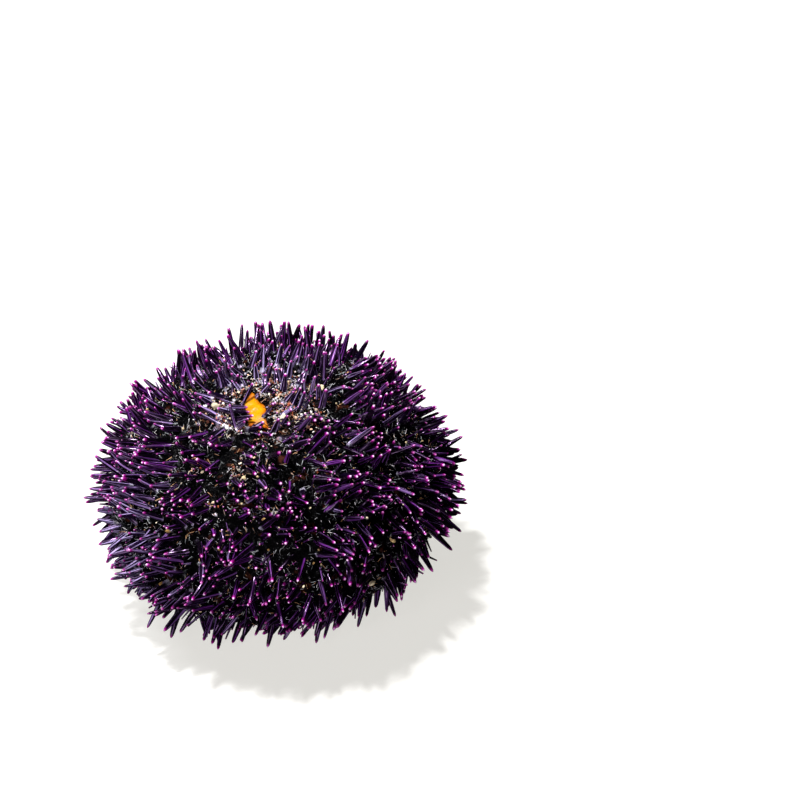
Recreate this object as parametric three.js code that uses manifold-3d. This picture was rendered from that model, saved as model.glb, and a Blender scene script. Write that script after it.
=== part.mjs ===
// A purple sea urchin sold whole for its roe, with the plates at its apex broken open.
// It rests on the tips of its lower spines, leaning a little to its left (-X).
// Millimetres, +Z up, +X to the right, -Y to the front. The origin is on the table, under the
// middle of the spines' outer box.
//
// urchin  the shell, a flattened dome, with its large spines, its mouth and the grit in its spines
// roe     the orange roe that fills the star-shaped break at the apex
//
// Latitudes and longitudes are the shell's own, in radians: latitude -90 degrees is the mouth, 90 the apex.

import * as THREE from "three";
import { ConvexGeometry } from "three/addons/geometries/ConvexGeometry.js";
import { mergeVertices } from "three/addons/utils/BufferGeometryUtils.js";
import Module from "manifold-3d";

// Shell
const SHELL_RADIUS = 37.7;
const GIRTH_HEIGHT = 21; // the widest level, above the table
const CROWN_RISE = 28.5; // from the widest level up to the apex
const BELLY_DROP = 15.5; // from the widest level down to the mouth side
const BELLY_SQUARENESS = 2.4; // superellipse exponent below the widest level, 2 being an ellipse
const FIVE_LOBE_DEPTH = 0.012; // share of the radius by which the five double columns swell
const SHELL_LEAN = THREE.MathUtils.degToRad(-5.5); // about Y, so that the apex moves to -X
const SHELL_SECTORS = 27;
const SHELL_BANDS = 12;
const SHELL_AREA_SHARE = 0.76; // of the area of a ball with the shell's radius

// Spines
const SPINE_COUNT = 500;
const SPINE_LENGTH = 8.6;
const SPINE_LENGTH_SPREAD = 0.2; // share of the length, each way
const SPINE_BASE_RADIUS = 1.05; // of the corners: a three-sided spine is narrower than its circle
const SPINE_TIP_RADIUS = 0.44;
const SPINE_THICKNESS_SPREAD = 0.2; // share of the radius, each way
const SPINE_ROOT = 1.3; // how far a spine starts under the shell's surface
const SPINE_SIDES = 3;
const SPINE_CLEARANCE = 0.12;
const SPINE_SAMPLES = 8; // stretches of a spine between the places where its clearance is measured
const SPINE_JITTER = 0.34; // share of the spacing
const FLOOR_SINK = 0.12; // tips reach this far under the table and are cut flat on it

// The spines shorten towards the apex and towards the mouth, between these latitudes
const APEX_SHORTENING = 0.5;
const APEX_SHORTENING_FROM = 0.95;
const APEX_SHORTENING_TO = 1.5;
const BELLY_SHORTENING = 0.15;
const BELLY_SHORTENING_FROM = -0.35;
const BELLY_SHORTENING_TO = -1.2;

// They are longer or shorter in these places: longitude and latitude in degrees, size in radians, and growth
// as a share of the length
const GROWTHS = [
  { at: [-48, -22], size: [0.4, 0.4], growth: 0.25 },
  { at: [-119, -26], size: [0.2, 0.35], growth: 0.36 },
  { at: [-90, -22], size: [0.15, 0.3], growth: -0.25 },
  { at: [-155, 0], size: [0.35, 0.35], growth: -0.2 },
];

// Tufts: neighbouring spines lean together, towards points held above the shell
const TUFT_COUNT = 100;
const TUFT_JITTER = 0.5; // share of the spacing
const TUFT_REACH = 8.5; // height of those points above the shell
const TUFT_PULL = 0.5; // share of the way to its tuft's point that a tip goes, at most
const TUFT_PULL_SPREAD = 0.6; // share of that pull that chance takes away, at most

// Lean of the spines, each value being the tangent of an angle off the shell's normal
const LEAN_OUT = 0.5; // away from the apex, near it
const LEAN_ACROSS = 0.27; // to and fro round the shell, with each of its waves
const LEAN_DOWN = 0.16; // up and down the shell, with each of its waves
const LEAN_CHANCE = 0.42; // each way, a spine's own
const LEAN_SHARE = 0.75; // of the lean above and below that a spine takes, its tuft's point taking all
const WAVES_ACROSS = [
  { direction: [1 / 9, 0, 0], phase: 1.1 }, // radians per millimetre, and radians
  { direction: [0, 1 / 11, -1 / 8], phase: 0 },
];
const WAVES_DOWN = [
  { direction: [0, 1 / 9, 0], phase: 2.17 },
  { direction: [1 / 10, 0, 1 / 9], phase: 0 },
];
const SWEEP = 1.1; // round the shell to the left, low on the front
const SWEEP_LONGITUDE = THREE.MathUtils.degToRad(-72);
const SWEEP_LATITUDE = THREE.MathUtils.degToRad(-12);
const SWEEP_WIDTH = 0.6;
const SWEEP_HEIGHT = 0.5;
const DROOP = 1.05; // downwards, on the lower flank
const DROOP_LATITUDE = THREE.MathUtils.degToRad(-40);
const DROOP_HEIGHT = 0.6;

// Break at the apex, and the roe in it
const BREAK_CORNERS = [
  [2.63, 1.25], // of a star, from its middle: five points and the five bays between them
  [0.65, 3.74],
  [-1.08, 7.59],
  [-2.25, 5],
  [-3.73, 4.32],
  [-2.19, 0],
  [-1.62, -4.82],
  [0.86, -5.1],
  [3.23, -6.27],
  [2.2, -1.82],
].map(([x, y]) => new THREE.Vector2(x, y));
const BREAK_DEPTH = 5.5;
const BREAK_OVERCUT = 0.6; // the cut that opens the break stops this far over the apex
const BREAK_OFFSET = [-1.3, -2.6]; // of its middle from the apex, along the shell's own X and Y
const ROE_GAP = 0.3;
const ROE_EDGE_DROP = 1.1; // the roe's edge lies this far under the apex's level
const ROE_DOME = 0.9; // rise of the roe's middle over its edge
const ROE_LUMP = 0.22;
const ROE_RINGS = 4;

// Mouth
const MOUTH_RADIUS = 9;
const MOUTH_FLOOR_RADIUS = 7.2;
const MOUTH_DEPTH = 1.2;
const MOUTH_SIDES = 15;
const TOOTH_COUNT = 5;
const TOOTH_LENGTH = 3.2;
const TOOTH_WIDTH = 1.6;
const TOOTH_OFFSET = 1.25; // from the mouth's middle, halfway along the tooth
const TOOTH_LEAN = 0.28; // radians, towards the mouth's middle

// Grit
const GRIT_COUNT = 14;
const GRIT_PLACES = 126; // tried one after the other until there are enough grains
const GRIT_JITTER = 0.5;
const GRIT_SIZE = 1.15; // half the length of a middling grain
const GRIT_SIZE_SPREAD = 0.25; // share of the size, each way
const GRIT_SHAPE = [1, 0.75, 0.6];
const GRIT_SINK = 0.22; // share of the grain's size that its middle lies under the shell's surface
const GRIT_CLEARANCE = 0.2;
const GRIT_BREAK_CLEARANCE = 2;

// Spines keep off the mouth and the break by these margins
const BREAK_MARGIN = 0.9;
const MOUTH_MARGIN = 0.8;

// Streams of chance numbers: each place takes its channel and the next one
const TUFT_CHANNEL = 11;
const SPINE_CHANNEL = 21;
const LENGTH_CHANNEL = 31;
const PULL_CHANNEL = 32;
const THICKNESS_CHANNEL = 33;
const WANDER_CHANNEL = 34;
const GRIT_CHANNEL = 51;
const GRIT_SIZE_CHANNEL = 61;
const GRIT_TURN_CHANNEL = 62;

const GOLDEN_ANGLE = Math.PI * (3 - Math.sqrt(5));
const UP = new THREE.Vector3(0, 0, 1);
const wasm = await Module();
wasm.setup();

// The same number from -1 to 1 for the same whole number and channel.
function chance(index, channel) {
  const wave = Math.sin(index * 12.9898 + channel * 78.233 + 1.7) * 43758.5453;
  return 2 * (wave - Math.floor(wave)) - 1;
}

function chanceVector(index, channel) {
  return new THREE.Vector3(chance(index, channel), chance(index, channel + 1), chance(index, channel + 2));
}

function signedPower(value, power) {
  return Math.sign(value) * Math.abs(value) ** power;
}

// A point of the shell in its own upright frame, whose origin is in the middle of the widest level.
function shellPoint(latitude, longitude) {
  const above = latitude >= 0;
  const power = above ? 1 : 2 / BELLY_SQUARENESS;
  const lobes = 1 + FIVE_LOBE_DEPTH * Math.cos(5 * longitude);
  const radius = SHELL_RADIUS * lobes * signedPower(Math.cos(latitude), power);
  const rise = (above ? CROWN_RISE : BELLY_DROP) * signedPower(Math.sin(latitude), power);
  return new THREE.Vector3(radius * Math.cos(longitude), radius * Math.sin(longitude), rise);
}

function eastAt(longitude) {
  return new THREE.Vector3(-Math.sin(longitude), Math.cos(longitude), 0);
}

function shellNormal(latitude, longitude) {
  const step = 0.01;
  const north = shellPoint(latitude + step, longitude).sub(shellPoint(latitude - step, longitude));
  return eastAt(longitude).cross(north).normalize();
}

// Latitudes that share the shell's area evenly: entry k of count lies at area share (k + 0.5) / count.
function evenLatitudes(count) {
  const steps = 400;
  const limit = Math.PI / 2 - 0.02;
  const latitudes = [-limit];
  const areas = [0];
  for (let k = 1; k <= steps; k++) {
    const latitude = -limit + (2 * limit * k) / steps;
    const from = shellPoint(latitudes[k - 1], 0);
    const to = shellPoint(latitude, 0);
    areas.push(areas[k - 1] + ((from.x + to.x) / 2) * from.distanceTo(to));
    latitudes.push(latitude);
  }
  const found = [];
  let k = 1;
  for (let n = 0; n < count; n++) {
    const wanted = ((n + 0.5) / count) * areas[steps];
    while (areas[k] < wanted) k++;
    const share = (wanted - areas[k - 1]) / (areas[k] - areas[k - 1]);
    found.push(latitudes[k - 1] + share * (latitudes[k] - latitudes[k - 1]));
  }
  return found;
}

// Points spread evenly over the shell on a golden-angle spiral, each moved a little by chance.
function scatter(count, jitter, channel) {
  const spacing = SHELL_RADIUS * Math.sqrt((4 * Math.PI * SHELL_AREA_SHARE) / count);
  return evenLatitudes(count).map((even, n) => {
    const ring = Math.max(shellPoint(even, 0).x, spacing);
    const moved = even + (chance(n, channel + 1) * jitter * spacing) / SHELL_RADIUS;
    const latitude = THREE.MathUtils.clamp(moved, -1.5, 1.5);
    const longitude = n * GOLDEN_ANGLE + (chance(n, channel) * jitter * spacing) / ring;
    return {
      latitude,
      longitude,
      point: shellPoint(latitude, longitude),
      normal: shellNormal(latitude, longitude),
    };
  });
}

function sumOfWaves(waves, point) {
  return waves.reduce((sum, { direction: [x, y, z], phase }) => {
    return sum + Math.sin(x * point.x + y * point.y + z * point.z + phase);
  }, 0);
}

function bell(offset, width) {
  return Math.exp(-((offset / width) ** 2));
}

// How far one longitude is from another, at most half a turn each way
function turnFrom(start, longitude) {
  return Math.atan2(Math.sin(longitude - start), Math.cos(longitude - start));
}

// The direction in which the spines at a place lie: off the normal, away from the apex, to and fro in
// waves, swept to the left low on the front, and hanging on the lower flank.
function lie({ point, normal, latitude, longitude }, share) {
  const around = bell(turnFrom(SWEEP_LONGITUDE, longitude), SWEEP_WIDTH);
  const sweep = SWEEP * around * bell(latitude - SWEEP_LATITUDE, SWEEP_HEIGHT);
  const out = LEAN_OUT * Math.max(0, Math.sin(latitude));
  const droop = DROOP * bell(latitude - DROOP_LATITUDE, DROOP_HEIGHT);
  const east = eastAt(longitude);
  const south = east.clone().cross(normal);
  return normal
    .clone()
    .addScaledVector(east, share * (LEAN_ACROSS * sumOfWaves(WAVES_ACROSS, point) - sweep))
    .addScaledVector(south, share * (LEAN_DOWN * sumOfWaves(WAVES_DOWN, point) + out + droop))
    .normalize();
}

function spineLength({ latitude, longitude }, n) {
  const apex = THREE.MathUtils.smoothstep(latitude, APEX_SHORTENING_FROM, APEX_SHORTENING_TO);
  const belly = THREE.MathUtils.smoothstep(-latitude, -BELLY_SHORTENING_FROM, -BELLY_SHORTENING_TO);
  const spread = 1 + SPINE_LENGTH_SPREAD * chance(n, LENGTH_CHANNEL);
  const grown = GROWTHS.reduce((sum, { at, size, growth }) => {
    const [east, north] = at.map(THREE.MathUtils.degToRad);
    return sum + growth * bell(turnFrom(east, longitude), size[0]) * bell(latitude - north, size[1]);
  }, 1);
  return SPINE_LENGTH * spread * (1 - APEX_SHORTENING * apex) * (1 - BELLY_SHORTENING * belly) * grown;
}

// Each spine's place, with the tip that it would have alone and the one drawn to its tuft.
function planSpines() {
  const tufts = scatter(TUFT_COUNT, TUFT_JITTER, TUFT_CHANNEL).map((tuft) => ({
    foot: tuft.point,
    top: tuft.point.clone().addScaledVector(lie(tuft, 1), TUFT_REACH),
  }));
  return scatter(SPINE_COUNT, SPINE_JITTER, SPINE_CHANNEL).map((place, n) => {
    const length = spineLength(place, n);
    const own = chanceVector(n, WANDER_CHANNEL).multiplyScalar(LEAN_CHANCE);
    const lean = lie(place, LEAN_SHARE).add(own).normalize();
    const alone = place.point.clone().addScaledVector(lean, length);
    const nearest = tufts.reduce((best, tuft) =>
      tuft.foot.distanceTo(place.point) < best.foot.distanceTo(place.point) ? tuft : best,
    );
    const pull = TUFT_PULL * (1 - (TUFT_PULL_SPREAD * (1 + chance(n, PULL_CHANNEL))) / 2);
    const gathered = alone.clone().lerp(nearest.top, pull);
    const thickness = 1 + SPINE_THICKNESS_SPREAD * chance(n, THICKNESS_CHANNEL);
    return { foot: place.point, alone, gathered, length, thickness };
  });
}

// From the shell's own frame to the part's: leaned over, and lifted to its height.
function placed(point) {
  const leaned = point.clone().applyAxisAngle(new THREE.Vector3(0, 1, 0), SHELL_LEAN);
  return leaned.addScaledVector(UP, GIRTH_HEIGHT);
}

function spineRadius(spine, share) {
  return spine.thickness * THREE.MathUtils.lerp(SPINE_BASE_RADIUS, SPINE_TIP_RADIUS, share);
}

// Least free space between two spines, sampled along the first.
function spaceBetween(a, b) {
  const line = new THREE.Line3(b.foot, b.tip);
  const nearest = new THREE.Vector3();
  let least = Infinity;
  for (let k = 0; k <= SPINE_SAMPLES; k++) {
    const along = k / SPINE_SAMPLES;
    const onA = a.foot.clone().lerp(a.tip, along);
    const share = line.closestPointToPointParameter(onA, true);
    line.at(share, nearest);
    least = Math.min(least, onA.distanceTo(nearest) - spineRadius(a, along) - spineRadius(b, share));
  }
  return least;
}

// A spine in the part's frame, from its foot towards a target. One that would pass the table stops on it.
function spineTowards(plan, target) {
  const foot = placed(plan.foot);
  const aim = placed(target).sub(foot).normalize();
  const room = aim.z < 0 ? (foot.z + FLOOR_SINK) / -aim.z : Infinity;
  const length = Math.min(plan.length, room);
  return { foot, aim, tip: foot.clone().addScaledVector(aim, length), length, thickness: plan.thickness };
}

// Spines that touch none before them: each is gathered into its tuft as far as there is room.
// None stands in the mouth or over the break.
function spines() {
  const kept = [];
  for (const plan of planSpines()) {
    if (insideBreak(plan.foot, BREAK_MARGIN) || insideMouth(plan.foot, MOUTH_MARGIN)) continue;
    const isClear = (spine) =>
      kept.every((other) => {
        const isFar = other.foot.distanceTo(spine.foot) > 2 * SPINE_LENGTH;
        return isFar || spaceBetween(spine, other) > SPINE_CLEARANCE;
      });
    const tries = [0, 1 / 3, 2 / 3, 1].map((share) => {
      return spineTowards(plan, plan.gathered.clone().lerp(plan.alone, share));
    });
    const fitting = tries.find(isClear);
    if (fitting) kept.push(fitting);
  }
  return kept;
}

// How far the break's edge is from its middle at an angle: where the line at that angle crosses the star.
function breakRadius(angle) {
  const line = new THREE.Vector2(Math.cos(angle), Math.sin(angle));
  let radius = 0;
  for (const [k, start] of BREAK_CORNERS.entries()) {
    const edge = BREAK_CORNERS[(k + 1) % BREAK_CORNERS.length].clone().sub(start);
    const share = start.cross(line) / line.cross(edge);
    const reach = start.cross(edge) / line.cross(edge);
    if (share > -1e-9 && share < 1 + 1e-9 && reach > 0) radius = Math.max(radius, reach);
  }
  return radius;
}

function insideBreak(point, margin) {
  const x = point.x - BREAK_OFFSET[0];
  const y = point.y - BREAK_OFFSET[1];
  return point.z > 0 && Math.hypot(x, y) < breakRadius(Math.atan2(y, x)) + margin;
}

function insideMouth(point, margin) {
  return point.z < 0 && Math.hypot(point.x, point.y) < MOUTH_RADIUS + margin;
}

// A closed solid from a list of rings of points, each ring closed on itself, with flat ends.
function ringedGeometry(rings) {
  const sectors = rings[0].length;
  const middle = (ring) =>
    ring.reduce((sum, point) => sum.add(point), new THREE.Vector3()).divideScalar(sectors);
  const points = [...rings.flat(), middle(rings[0]), middle(rings.at(-1))];
  const firstMiddle = points.length - 2;
  const lastMiddle = points.length - 1;
  const lastRing = (rings.length - 1) * sectors;
  const faces = [];
  for (let s = 0; s < sectors; s++) {
    const t = (s + 1) % sectors;
    faces.push(firstMiddle, t, s, lastMiddle, lastRing + s, lastRing + t);
    for (let r = 0; r + 1 < rings.length; r++) {
      const a = r * sectors;
      const b = a + sectors;
      faces.push(a + s, a + t, b + t, a + s, b + t, b + s);
    }
  }
  return new THREE.BufferGeometry().setFromPoints(points).setIndex(faces);
}

function solidFrom(geometry) {
  const bare = geometry.clone();
  bare.deleteAttribute("normal");
  bare.deleteAttribute("uv");
  const merged = mergeVertices(bare, 1e-4);
  return new wasm.Manifold(
    new wasm.Mesh({
      numProp: 3,
      vertProperties: new Float32Array(merged.attributes.position.array),
      triVerts: new Uint32Array(merged.index.array),
    }),
  );
}

function geometryFrom(solid) {
  const mesh = solid.getMesh();
  const geometry = new THREE.BufferGeometry();
  geometry.setAttribute("position", new THREE.BufferAttribute(mesh.vertProperties, 3));
  geometry.setIndex(new THREE.BufferAttribute(mesh.triVerts, 1));
  return geometry;
}

function shellSolid() {
  const rings = [];
  for (let b = 1; b < SHELL_BANDS; b++) {
    const latitude = Math.PI * (b / SHELL_BANDS - 0.5);
    const stagger = 0.5 * (b % 2);
    rings.push(
      Array.from({ length: SHELL_SECTORS }, (_, s) => {
        return placed(shellPoint(latitude, (2 * Math.PI * (s + stagger)) / SHELL_SECTORS));
      }),
    );
  }
  return solidFrom(ringedGeometry(rings));
}

// A tapered prism with a blunt end, from under the shell's surface out to the tip.
function spineSolid({ foot, aim, length, thickness }) {
  const corners = [];
  for (let side = 0; side < SPINE_SIDES; side++) {
    const angle = (2 * Math.PI * side) / SPINE_SIDES;
    const corner = new THREE.Vector3(thickness * Math.cos(angle), 0, thickness * Math.sin(angle));
    corners.push(corner.clone().multiplyScalar(SPINE_BASE_RADIUS).setY(-SPINE_ROOT));
    corners.push(corner.clone().multiplyScalar(SPINE_TIP_RADIUS).setY(length));
  }
  const turn = new THREE.Quaternion().setFromUnitVectors(new THREE.Vector3(0, 1, 0), aim);
  const prism = new ConvexGeometry(corners).applyQuaternion(turn);
  return solidFrom(prism.translate(foot.x, foot.y, foot.z));
}

// The star-shaped column of the break, grown by margin, from its floor to a top given by height.
function starColumn(margin, floor, height) {
  const ring = (share, level) =>
    BREAK_CORNERS.map((corner) => {
      const reach = corner.clone().setLength(share * (corner.length() + margin));
      const x = BREAK_OFFSET[0] + reach.x;
      const y = BREAK_OFFSET[1] + reach.y;
      return placed(new THREE.Vector3(x, y, level ?? height(x, y, share)));
    });
  const rings = [ring(1, CROWN_RISE + floor)];
  for (let r = 0; r < ROE_RINGS; r++) rings.push(ring(1 - r / ROE_RINGS));
  return solidFrom(ringedGeometry(rings));
}

// A low dome with grain-like lumps; share is 1 at the edge and falls to 0 in the middle.
function roeTop(x, y, share) {
  const lumps = Math.sin(x * 1.9 + 0.7) * Math.sin(y * 1.5) + Math.sin(x * 0.9 - y * 2.3);
  return CROWN_RISE - ROE_EDGE_DROP + ROE_DOME * (1 - share ** 2) + ROE_LUMP * lumps;
}

function placedGeometry(geometry) {
  return geometry.rotateY(SHELL_LEAN).translate(0, 0, GIRTH_HEIGHT);
}

// The soft ring round the mouth is set in from the shell, with five teeth meeting in its middle.
function mouthCut() {
  const cut = new THREE.CylinderGeometry(MOUTH_RADIUS, MOUTH_FLOOR_RADIUS, MOUTH_DEPTH * 2, MOUTH_SIDES);
  cut.rotateX(-Math.PI / 2).translate(0, 0, -BELLY_DROP);
  return solidFrom(placedGeometry(cut));
}

function toothSolid(index) {
  const tooth = new THREE.ConeGeometry(TOOTH_WIDTH, TOOTH_LENGTH * 2, 4);
  tooth.rotateX(-Math.PI / 2).rotateY(TOOTH_LEAN).translate(TOOTH_OFFSET, 0, MOUTH_DEPTH - BELLY_DROP);
  tooth.rotateZ((2 * Math.PI * index) / TOOTH_COUNT);
  return solidFrom(placedGeometry(tooth));
}

// Grains of sand and shell, half sunk in the skin between the spines of the upper side.
function gritSolids(allSpines) {
  const grains = [];
  const places = scatter(GRIT_PLACES, GRIT_JITTER, GRIT_CHANNEL).filter((place) => place.latitude > 0);
  for (const [n, place] of places.entries()) {
    const size = GRIT_SIZE * (1 + GRIT_SIZE_SPREAD * chance(n, GRIT_SIZE_CHANNEL));
    const middle = placed(place.point.clone().addScaledVector(place.normal, -size * GRIT_SINK));
    const isFree = allSpines.every((spine) => {
      const line = new THREE.Line3(spine.foot, spine.tip);
      const nearest = line.closestPointToPoint(middle, true, new THREE.Vector3());
      return nearest.distanceTo(middle) > size + SPINE_BASE_RADIUS + GRIT_CLEARANCE;
    });
    if (!isFree || insideBreak(place.point, GRIT_BREAK_CLEARANCE) || grains.length >= GRIT_COUNT) continue;
    const grain = new THREE.OctahedronGeometry(size, 0).scale(...GRIT_SHAPE);
    grain.rotateZ(Math.PI * chance(n, GRIT_TURN_CHANNEL));
    grain.rotateX(Math.PI * chance(n, GRIT_TURN_CHANNEL + 1));
    grains.push(solidFrom(grain.translate(middle.x, middle.y, middle.z)));
  }
  return grains;
}

function urchinSolid() {
  const allSpines = spines();
  const teeth = Array.from({ length: TOOTH_COUNT }, (_, index) => toothSolid(index));
  const shell = shellSolid().subtract(mouthCut());
  const fused = [shell, ...teeth, ...allSpines.map(spineSolid), ...gritSolids(allSpines)];
  const grown = wasm.Manifold.union(fused);
  const opened = grown.subtract(starColumn(0, -BREAK_DEPTH, () => CROWN_RISE + BREAK_OVERCUT));
  return opened.trimByPlane(UP.toArray(), 0);
}

function part() {
  const urchin = geometryFrom(urchinSolid());
  const roe = geometryFrom(starColumn(-ROE_GAP, ROE_GAP - BREAK_DEPTH, roeTop));
  urchin.computeBoundingBox();
  const middle = urchin.boundingBox.getCenter(new THREE.Vector3());
  const group = new THREE.Group();
  const pieces = [
    ["urchin", urchin, { name: "spine_purple", color: 0x2b0f38, roughness: 0.35 }],
    ["roe", roe, { name: "roe_orange", color: 0xf59a12, roughness: 0.25 }],
  ];
  for (const [name, geometry, look] of pieces) {
    const mesh = new THREE.Mesh(geometry, new THREE.MeshStandardMaterial({ ...look, metalness: 0 }));
    mesh.name = name;
    mesh.position.set(-middle.x, -middle.y, 0);
    group.add(mesh);
  }
  return group;
}

export default part();
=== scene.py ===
# A whole sea urchin on a white table: a dome of violet-black spines, broken open at the top over orange roe.
# Shapes are worked out in millimetres in the shell's own upright frame: its origin is in the middle of the
# widest level, +Z goes to the apex, +X to the right and -Y to the front. place() leans them, lifts them and
# turns them into metres.
import math

import bpy
import numpy as np
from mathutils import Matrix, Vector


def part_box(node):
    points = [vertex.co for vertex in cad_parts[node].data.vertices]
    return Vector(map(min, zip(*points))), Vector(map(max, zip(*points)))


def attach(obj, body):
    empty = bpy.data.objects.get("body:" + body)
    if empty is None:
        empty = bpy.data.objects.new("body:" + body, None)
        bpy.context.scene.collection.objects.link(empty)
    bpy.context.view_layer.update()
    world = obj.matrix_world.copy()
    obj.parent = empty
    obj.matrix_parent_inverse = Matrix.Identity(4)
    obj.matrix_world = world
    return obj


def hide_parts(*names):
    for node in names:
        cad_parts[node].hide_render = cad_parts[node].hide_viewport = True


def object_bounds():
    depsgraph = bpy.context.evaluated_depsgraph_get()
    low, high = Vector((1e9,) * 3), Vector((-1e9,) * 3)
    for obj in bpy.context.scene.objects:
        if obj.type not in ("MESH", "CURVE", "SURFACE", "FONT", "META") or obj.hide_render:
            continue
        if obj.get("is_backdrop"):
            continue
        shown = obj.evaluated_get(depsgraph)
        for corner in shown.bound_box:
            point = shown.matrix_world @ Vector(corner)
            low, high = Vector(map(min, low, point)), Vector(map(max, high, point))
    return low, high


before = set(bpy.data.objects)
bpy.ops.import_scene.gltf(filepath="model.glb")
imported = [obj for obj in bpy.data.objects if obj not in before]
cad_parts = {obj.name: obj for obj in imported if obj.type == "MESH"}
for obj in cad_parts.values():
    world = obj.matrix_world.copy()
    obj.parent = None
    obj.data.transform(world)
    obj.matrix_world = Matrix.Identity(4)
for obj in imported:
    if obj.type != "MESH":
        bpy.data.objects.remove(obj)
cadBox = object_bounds()
print("frame loaded")

shell = {
    "radius": 37.7,
    "girthHeight": 21.0,  # of the widest level over the table
    "crownRise": 28.5,
    "bellyDrop": 15.5,
    "bellySquareness": 2.4,  # 2 would be an ellipse
    "lobeDepth": 0.012,
    "lean": math.radians(-5.5),  # about Y, the apex to the left
    "areaShare": 0.76,  # of the area of a ball with the same radius
}
opening = {
    "middle": np.array([-1.3, -2.6]),
    "corners": np.array([  # of a star, from its middle: five points and the five bays between them
        (2.63, 1.25), (0.65, 3.74), (-1.08, 7.59), (-2.25, 5.0), (-3.73, 4.32),
        (-2.19, 0.0), (-1.62, -4.82), (0.86, -5.1), (3.23, -6.27), (2.2, -1.82),
    ]),
    "roeGap": 0.3,
    "roeFoot": 5.2,  # under the apex's level
}
mouth = {"radius": 9.0, "depth": 1.2}
bareSpots = [  # longitude and latitude in degrees, and radius, of places with few spines and many tube feet
    (-143, 44, 3.6), (-36, 36, 4.0), (-85, 19, 3.4), (-155, 12, 3.2), (-91, 46, 3.4), (-56, 47, 3.2),
    (20, 34, 3.6), (64, 22, 4.0), (118, 40, 3.6), (165, 20, 4.0), (-20, -5, 3.2),
]
bareEdge = {"unevenness": 0.3, "size": 3.5}


def chance(index, channel):
    # the same number from -1 to 1 for the same index and channel: the fraction of a large sine
    wave = np.sin(index * 12.9898 + channel * 78.233 + 1.7) * 43758.5453
    return 2 * (wave - np.floor(wave)) - 1


def hashed(corner, seed):
    # three numbers from 0 to 1 for each corner of a lattice, each the fraction of a large sine of its place
    rows = np.array([[127.1, 311.7, 74.7], [269.5, 183.3, 246.1], [113.5, 271.9, 124.6]])
    wave = np.sin(corner @ rows.T + seed * np.array([1.3, 2.1, 3.7])) * 43758.5453
    return wave - np.floor(wave)


def clouds(points, size, seed):
    # smooth noise from -1 to 1: the numbers at a cube's eight corners, blended by smoothstep
    scaled = points / size
    corner = np.floor(scaled)
    inside = scaled - corner
    inside = inside * inside * (3 - 2 * inside)
    total = np.zeros(points.shape[:-1])
    for dx in (0, 1):
        for dy in (0, 1):
            for dz in (0, 1):
                weight = np.prod(np.where([dx, dy, dz], inside, 1 - inside), axis=-1)
                total += weight * hashed(corner + [dx, dy, dz], seed)[..., 0]
    return 2 * total - 1


def grains(points, size, seed):
    # distance, in grain sizes, to the nearest of one chance point in each cube of a lattice
    scaled = points / size
    corner = np.floor(scaled)
    nearest = np.full(points.shape[:-1], 9.0)
    for dx in (-1, 0, 1):
        for dy in (-1, 0, 1):
            for dz in (-1, 0, 1):
                cube = corner + [dx, dy, dz]
                far = np.linalg.norm(scaled - cube - hashed(cube, seed), axis=-1)
                nearest = np.minimum(nearest, far)
    return nearest


def smoothstep(value, low, high):
    # 0 below low, 1 above high, and an S-shaped cubic between them
    share = np.clip((value - low) / (high - low), 0, 1)
    return share * share * (3 - 2 * share)


def bell(offset, width):
    # 1 at 0, falling with the square of the offset as a Gaussian
    return np.exp(-((offset / width) ** 2))


def unit(vectors):
    # each divided by its own length
    return vectors / np.linalg.norm(vectors, axis=-1, keepdims=True)


def shellPoint(latitude, longitude):
    # above the widest level an ellipsoid, below it a superellipsoid, swollen in five columns
    power = np.where(latitude >= 0, 1, 2 / shell["bellySquareness"])
    lobes = 1 + shell["lobeDepth"] * np.cos(5 * longitude)
    radius = shell["radius"] * lobes * np.abs(np.cos(latitude)) ** power
    reach = np.where(latitude >= 0, shell["crownRise"], shell["bellyDrop"])
    rise = reach * np.sign(latitude) * np.abs(np.sin(latitude)) ** power
    return np.stack([radius * np.cos(longitude), radius * np.sin(longitude), rise], axis=-1)


def crownLevel(flat):
    # height of the shell's upper side over a point seen from above
    reach = np.linalg.norm(flat, axis=-1) / shell["radius"]
    return shell["crownRise"] * np.sqrt(np.clip(1 - reach ** 2, 0, 1))


def eastAt(longitude):
    # the level direction along the shell, at right angles to the radius
    return np.stack([-np.sin(longitude), np.cos(longitude), np.zeros_like(longitude)], axis=-1)


def shellNormal(latitude, longitude):
    # the cross product of the ways east and north
    step = 0.01
    north = shellPoint(latitude + step, longitude) - shellPoint(latitude - step, longitude)
    return unit(np.cross(eastAt(longitude), north))


def evenLatitudes(count):
    # latitudes that share the shell's area evenly, from a running sum of the rings' areas
    limit = math.pi / 2 - 0.02
    latitudes = np.linspace(-limit, limit, 401)
    points = shellPoint(latitudes, np.zeros(401))
    step = np.linalg.norm(np.diff(points, axis=0), axis=1)
    areas = np.concatenate([[0], np.cumsum((points[1:, 0] + points[:-1, 0]) / 2 * step)])
    wanted = (np.arange(count) + 0.5) / count * areas[-1]
    return np.interp(wanted, areas, latitudes)


def scatter(count, jitter, channel):
    # latitudes and longitudes evenly over the shell on a golden-angle spiral, each moved by chance
    spacing = shell["radius"] * math.sqrt(4 * math.pi * shell["areaShare"] / count)
    index = np.arange(count)
    even = evenLatitudes(count)
    ring = np.maximum(shellPoint(even, np.zeros(count))[:, 0], spacing)
    latitude = even + chance(index, channel + 1) * jitter * spacing / shell["radius"]
    goldenAngle = math.pi * (3 - math.sqrt(5))
    longitude = index * goldenAngle + chance(index, channel) * jitter * spacing / ring
    return np.clip(latitude, -1.5, 1.5), longitude


def leaned(points):
    # turned about Y by the lean and lifted to the girth's height, still in millimetres
    cosine, sine = math.cos(shell["lean"]), math.sin(shell["lean"])
    x = points[..., 0] * cosine + points[..., 2] * sine
    z = points[..., 2] * cosine - points[..., 0] * sine + shell["girthHeight"]
    return np.stack([x, points[..., 1], z], axis=-1)


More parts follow.
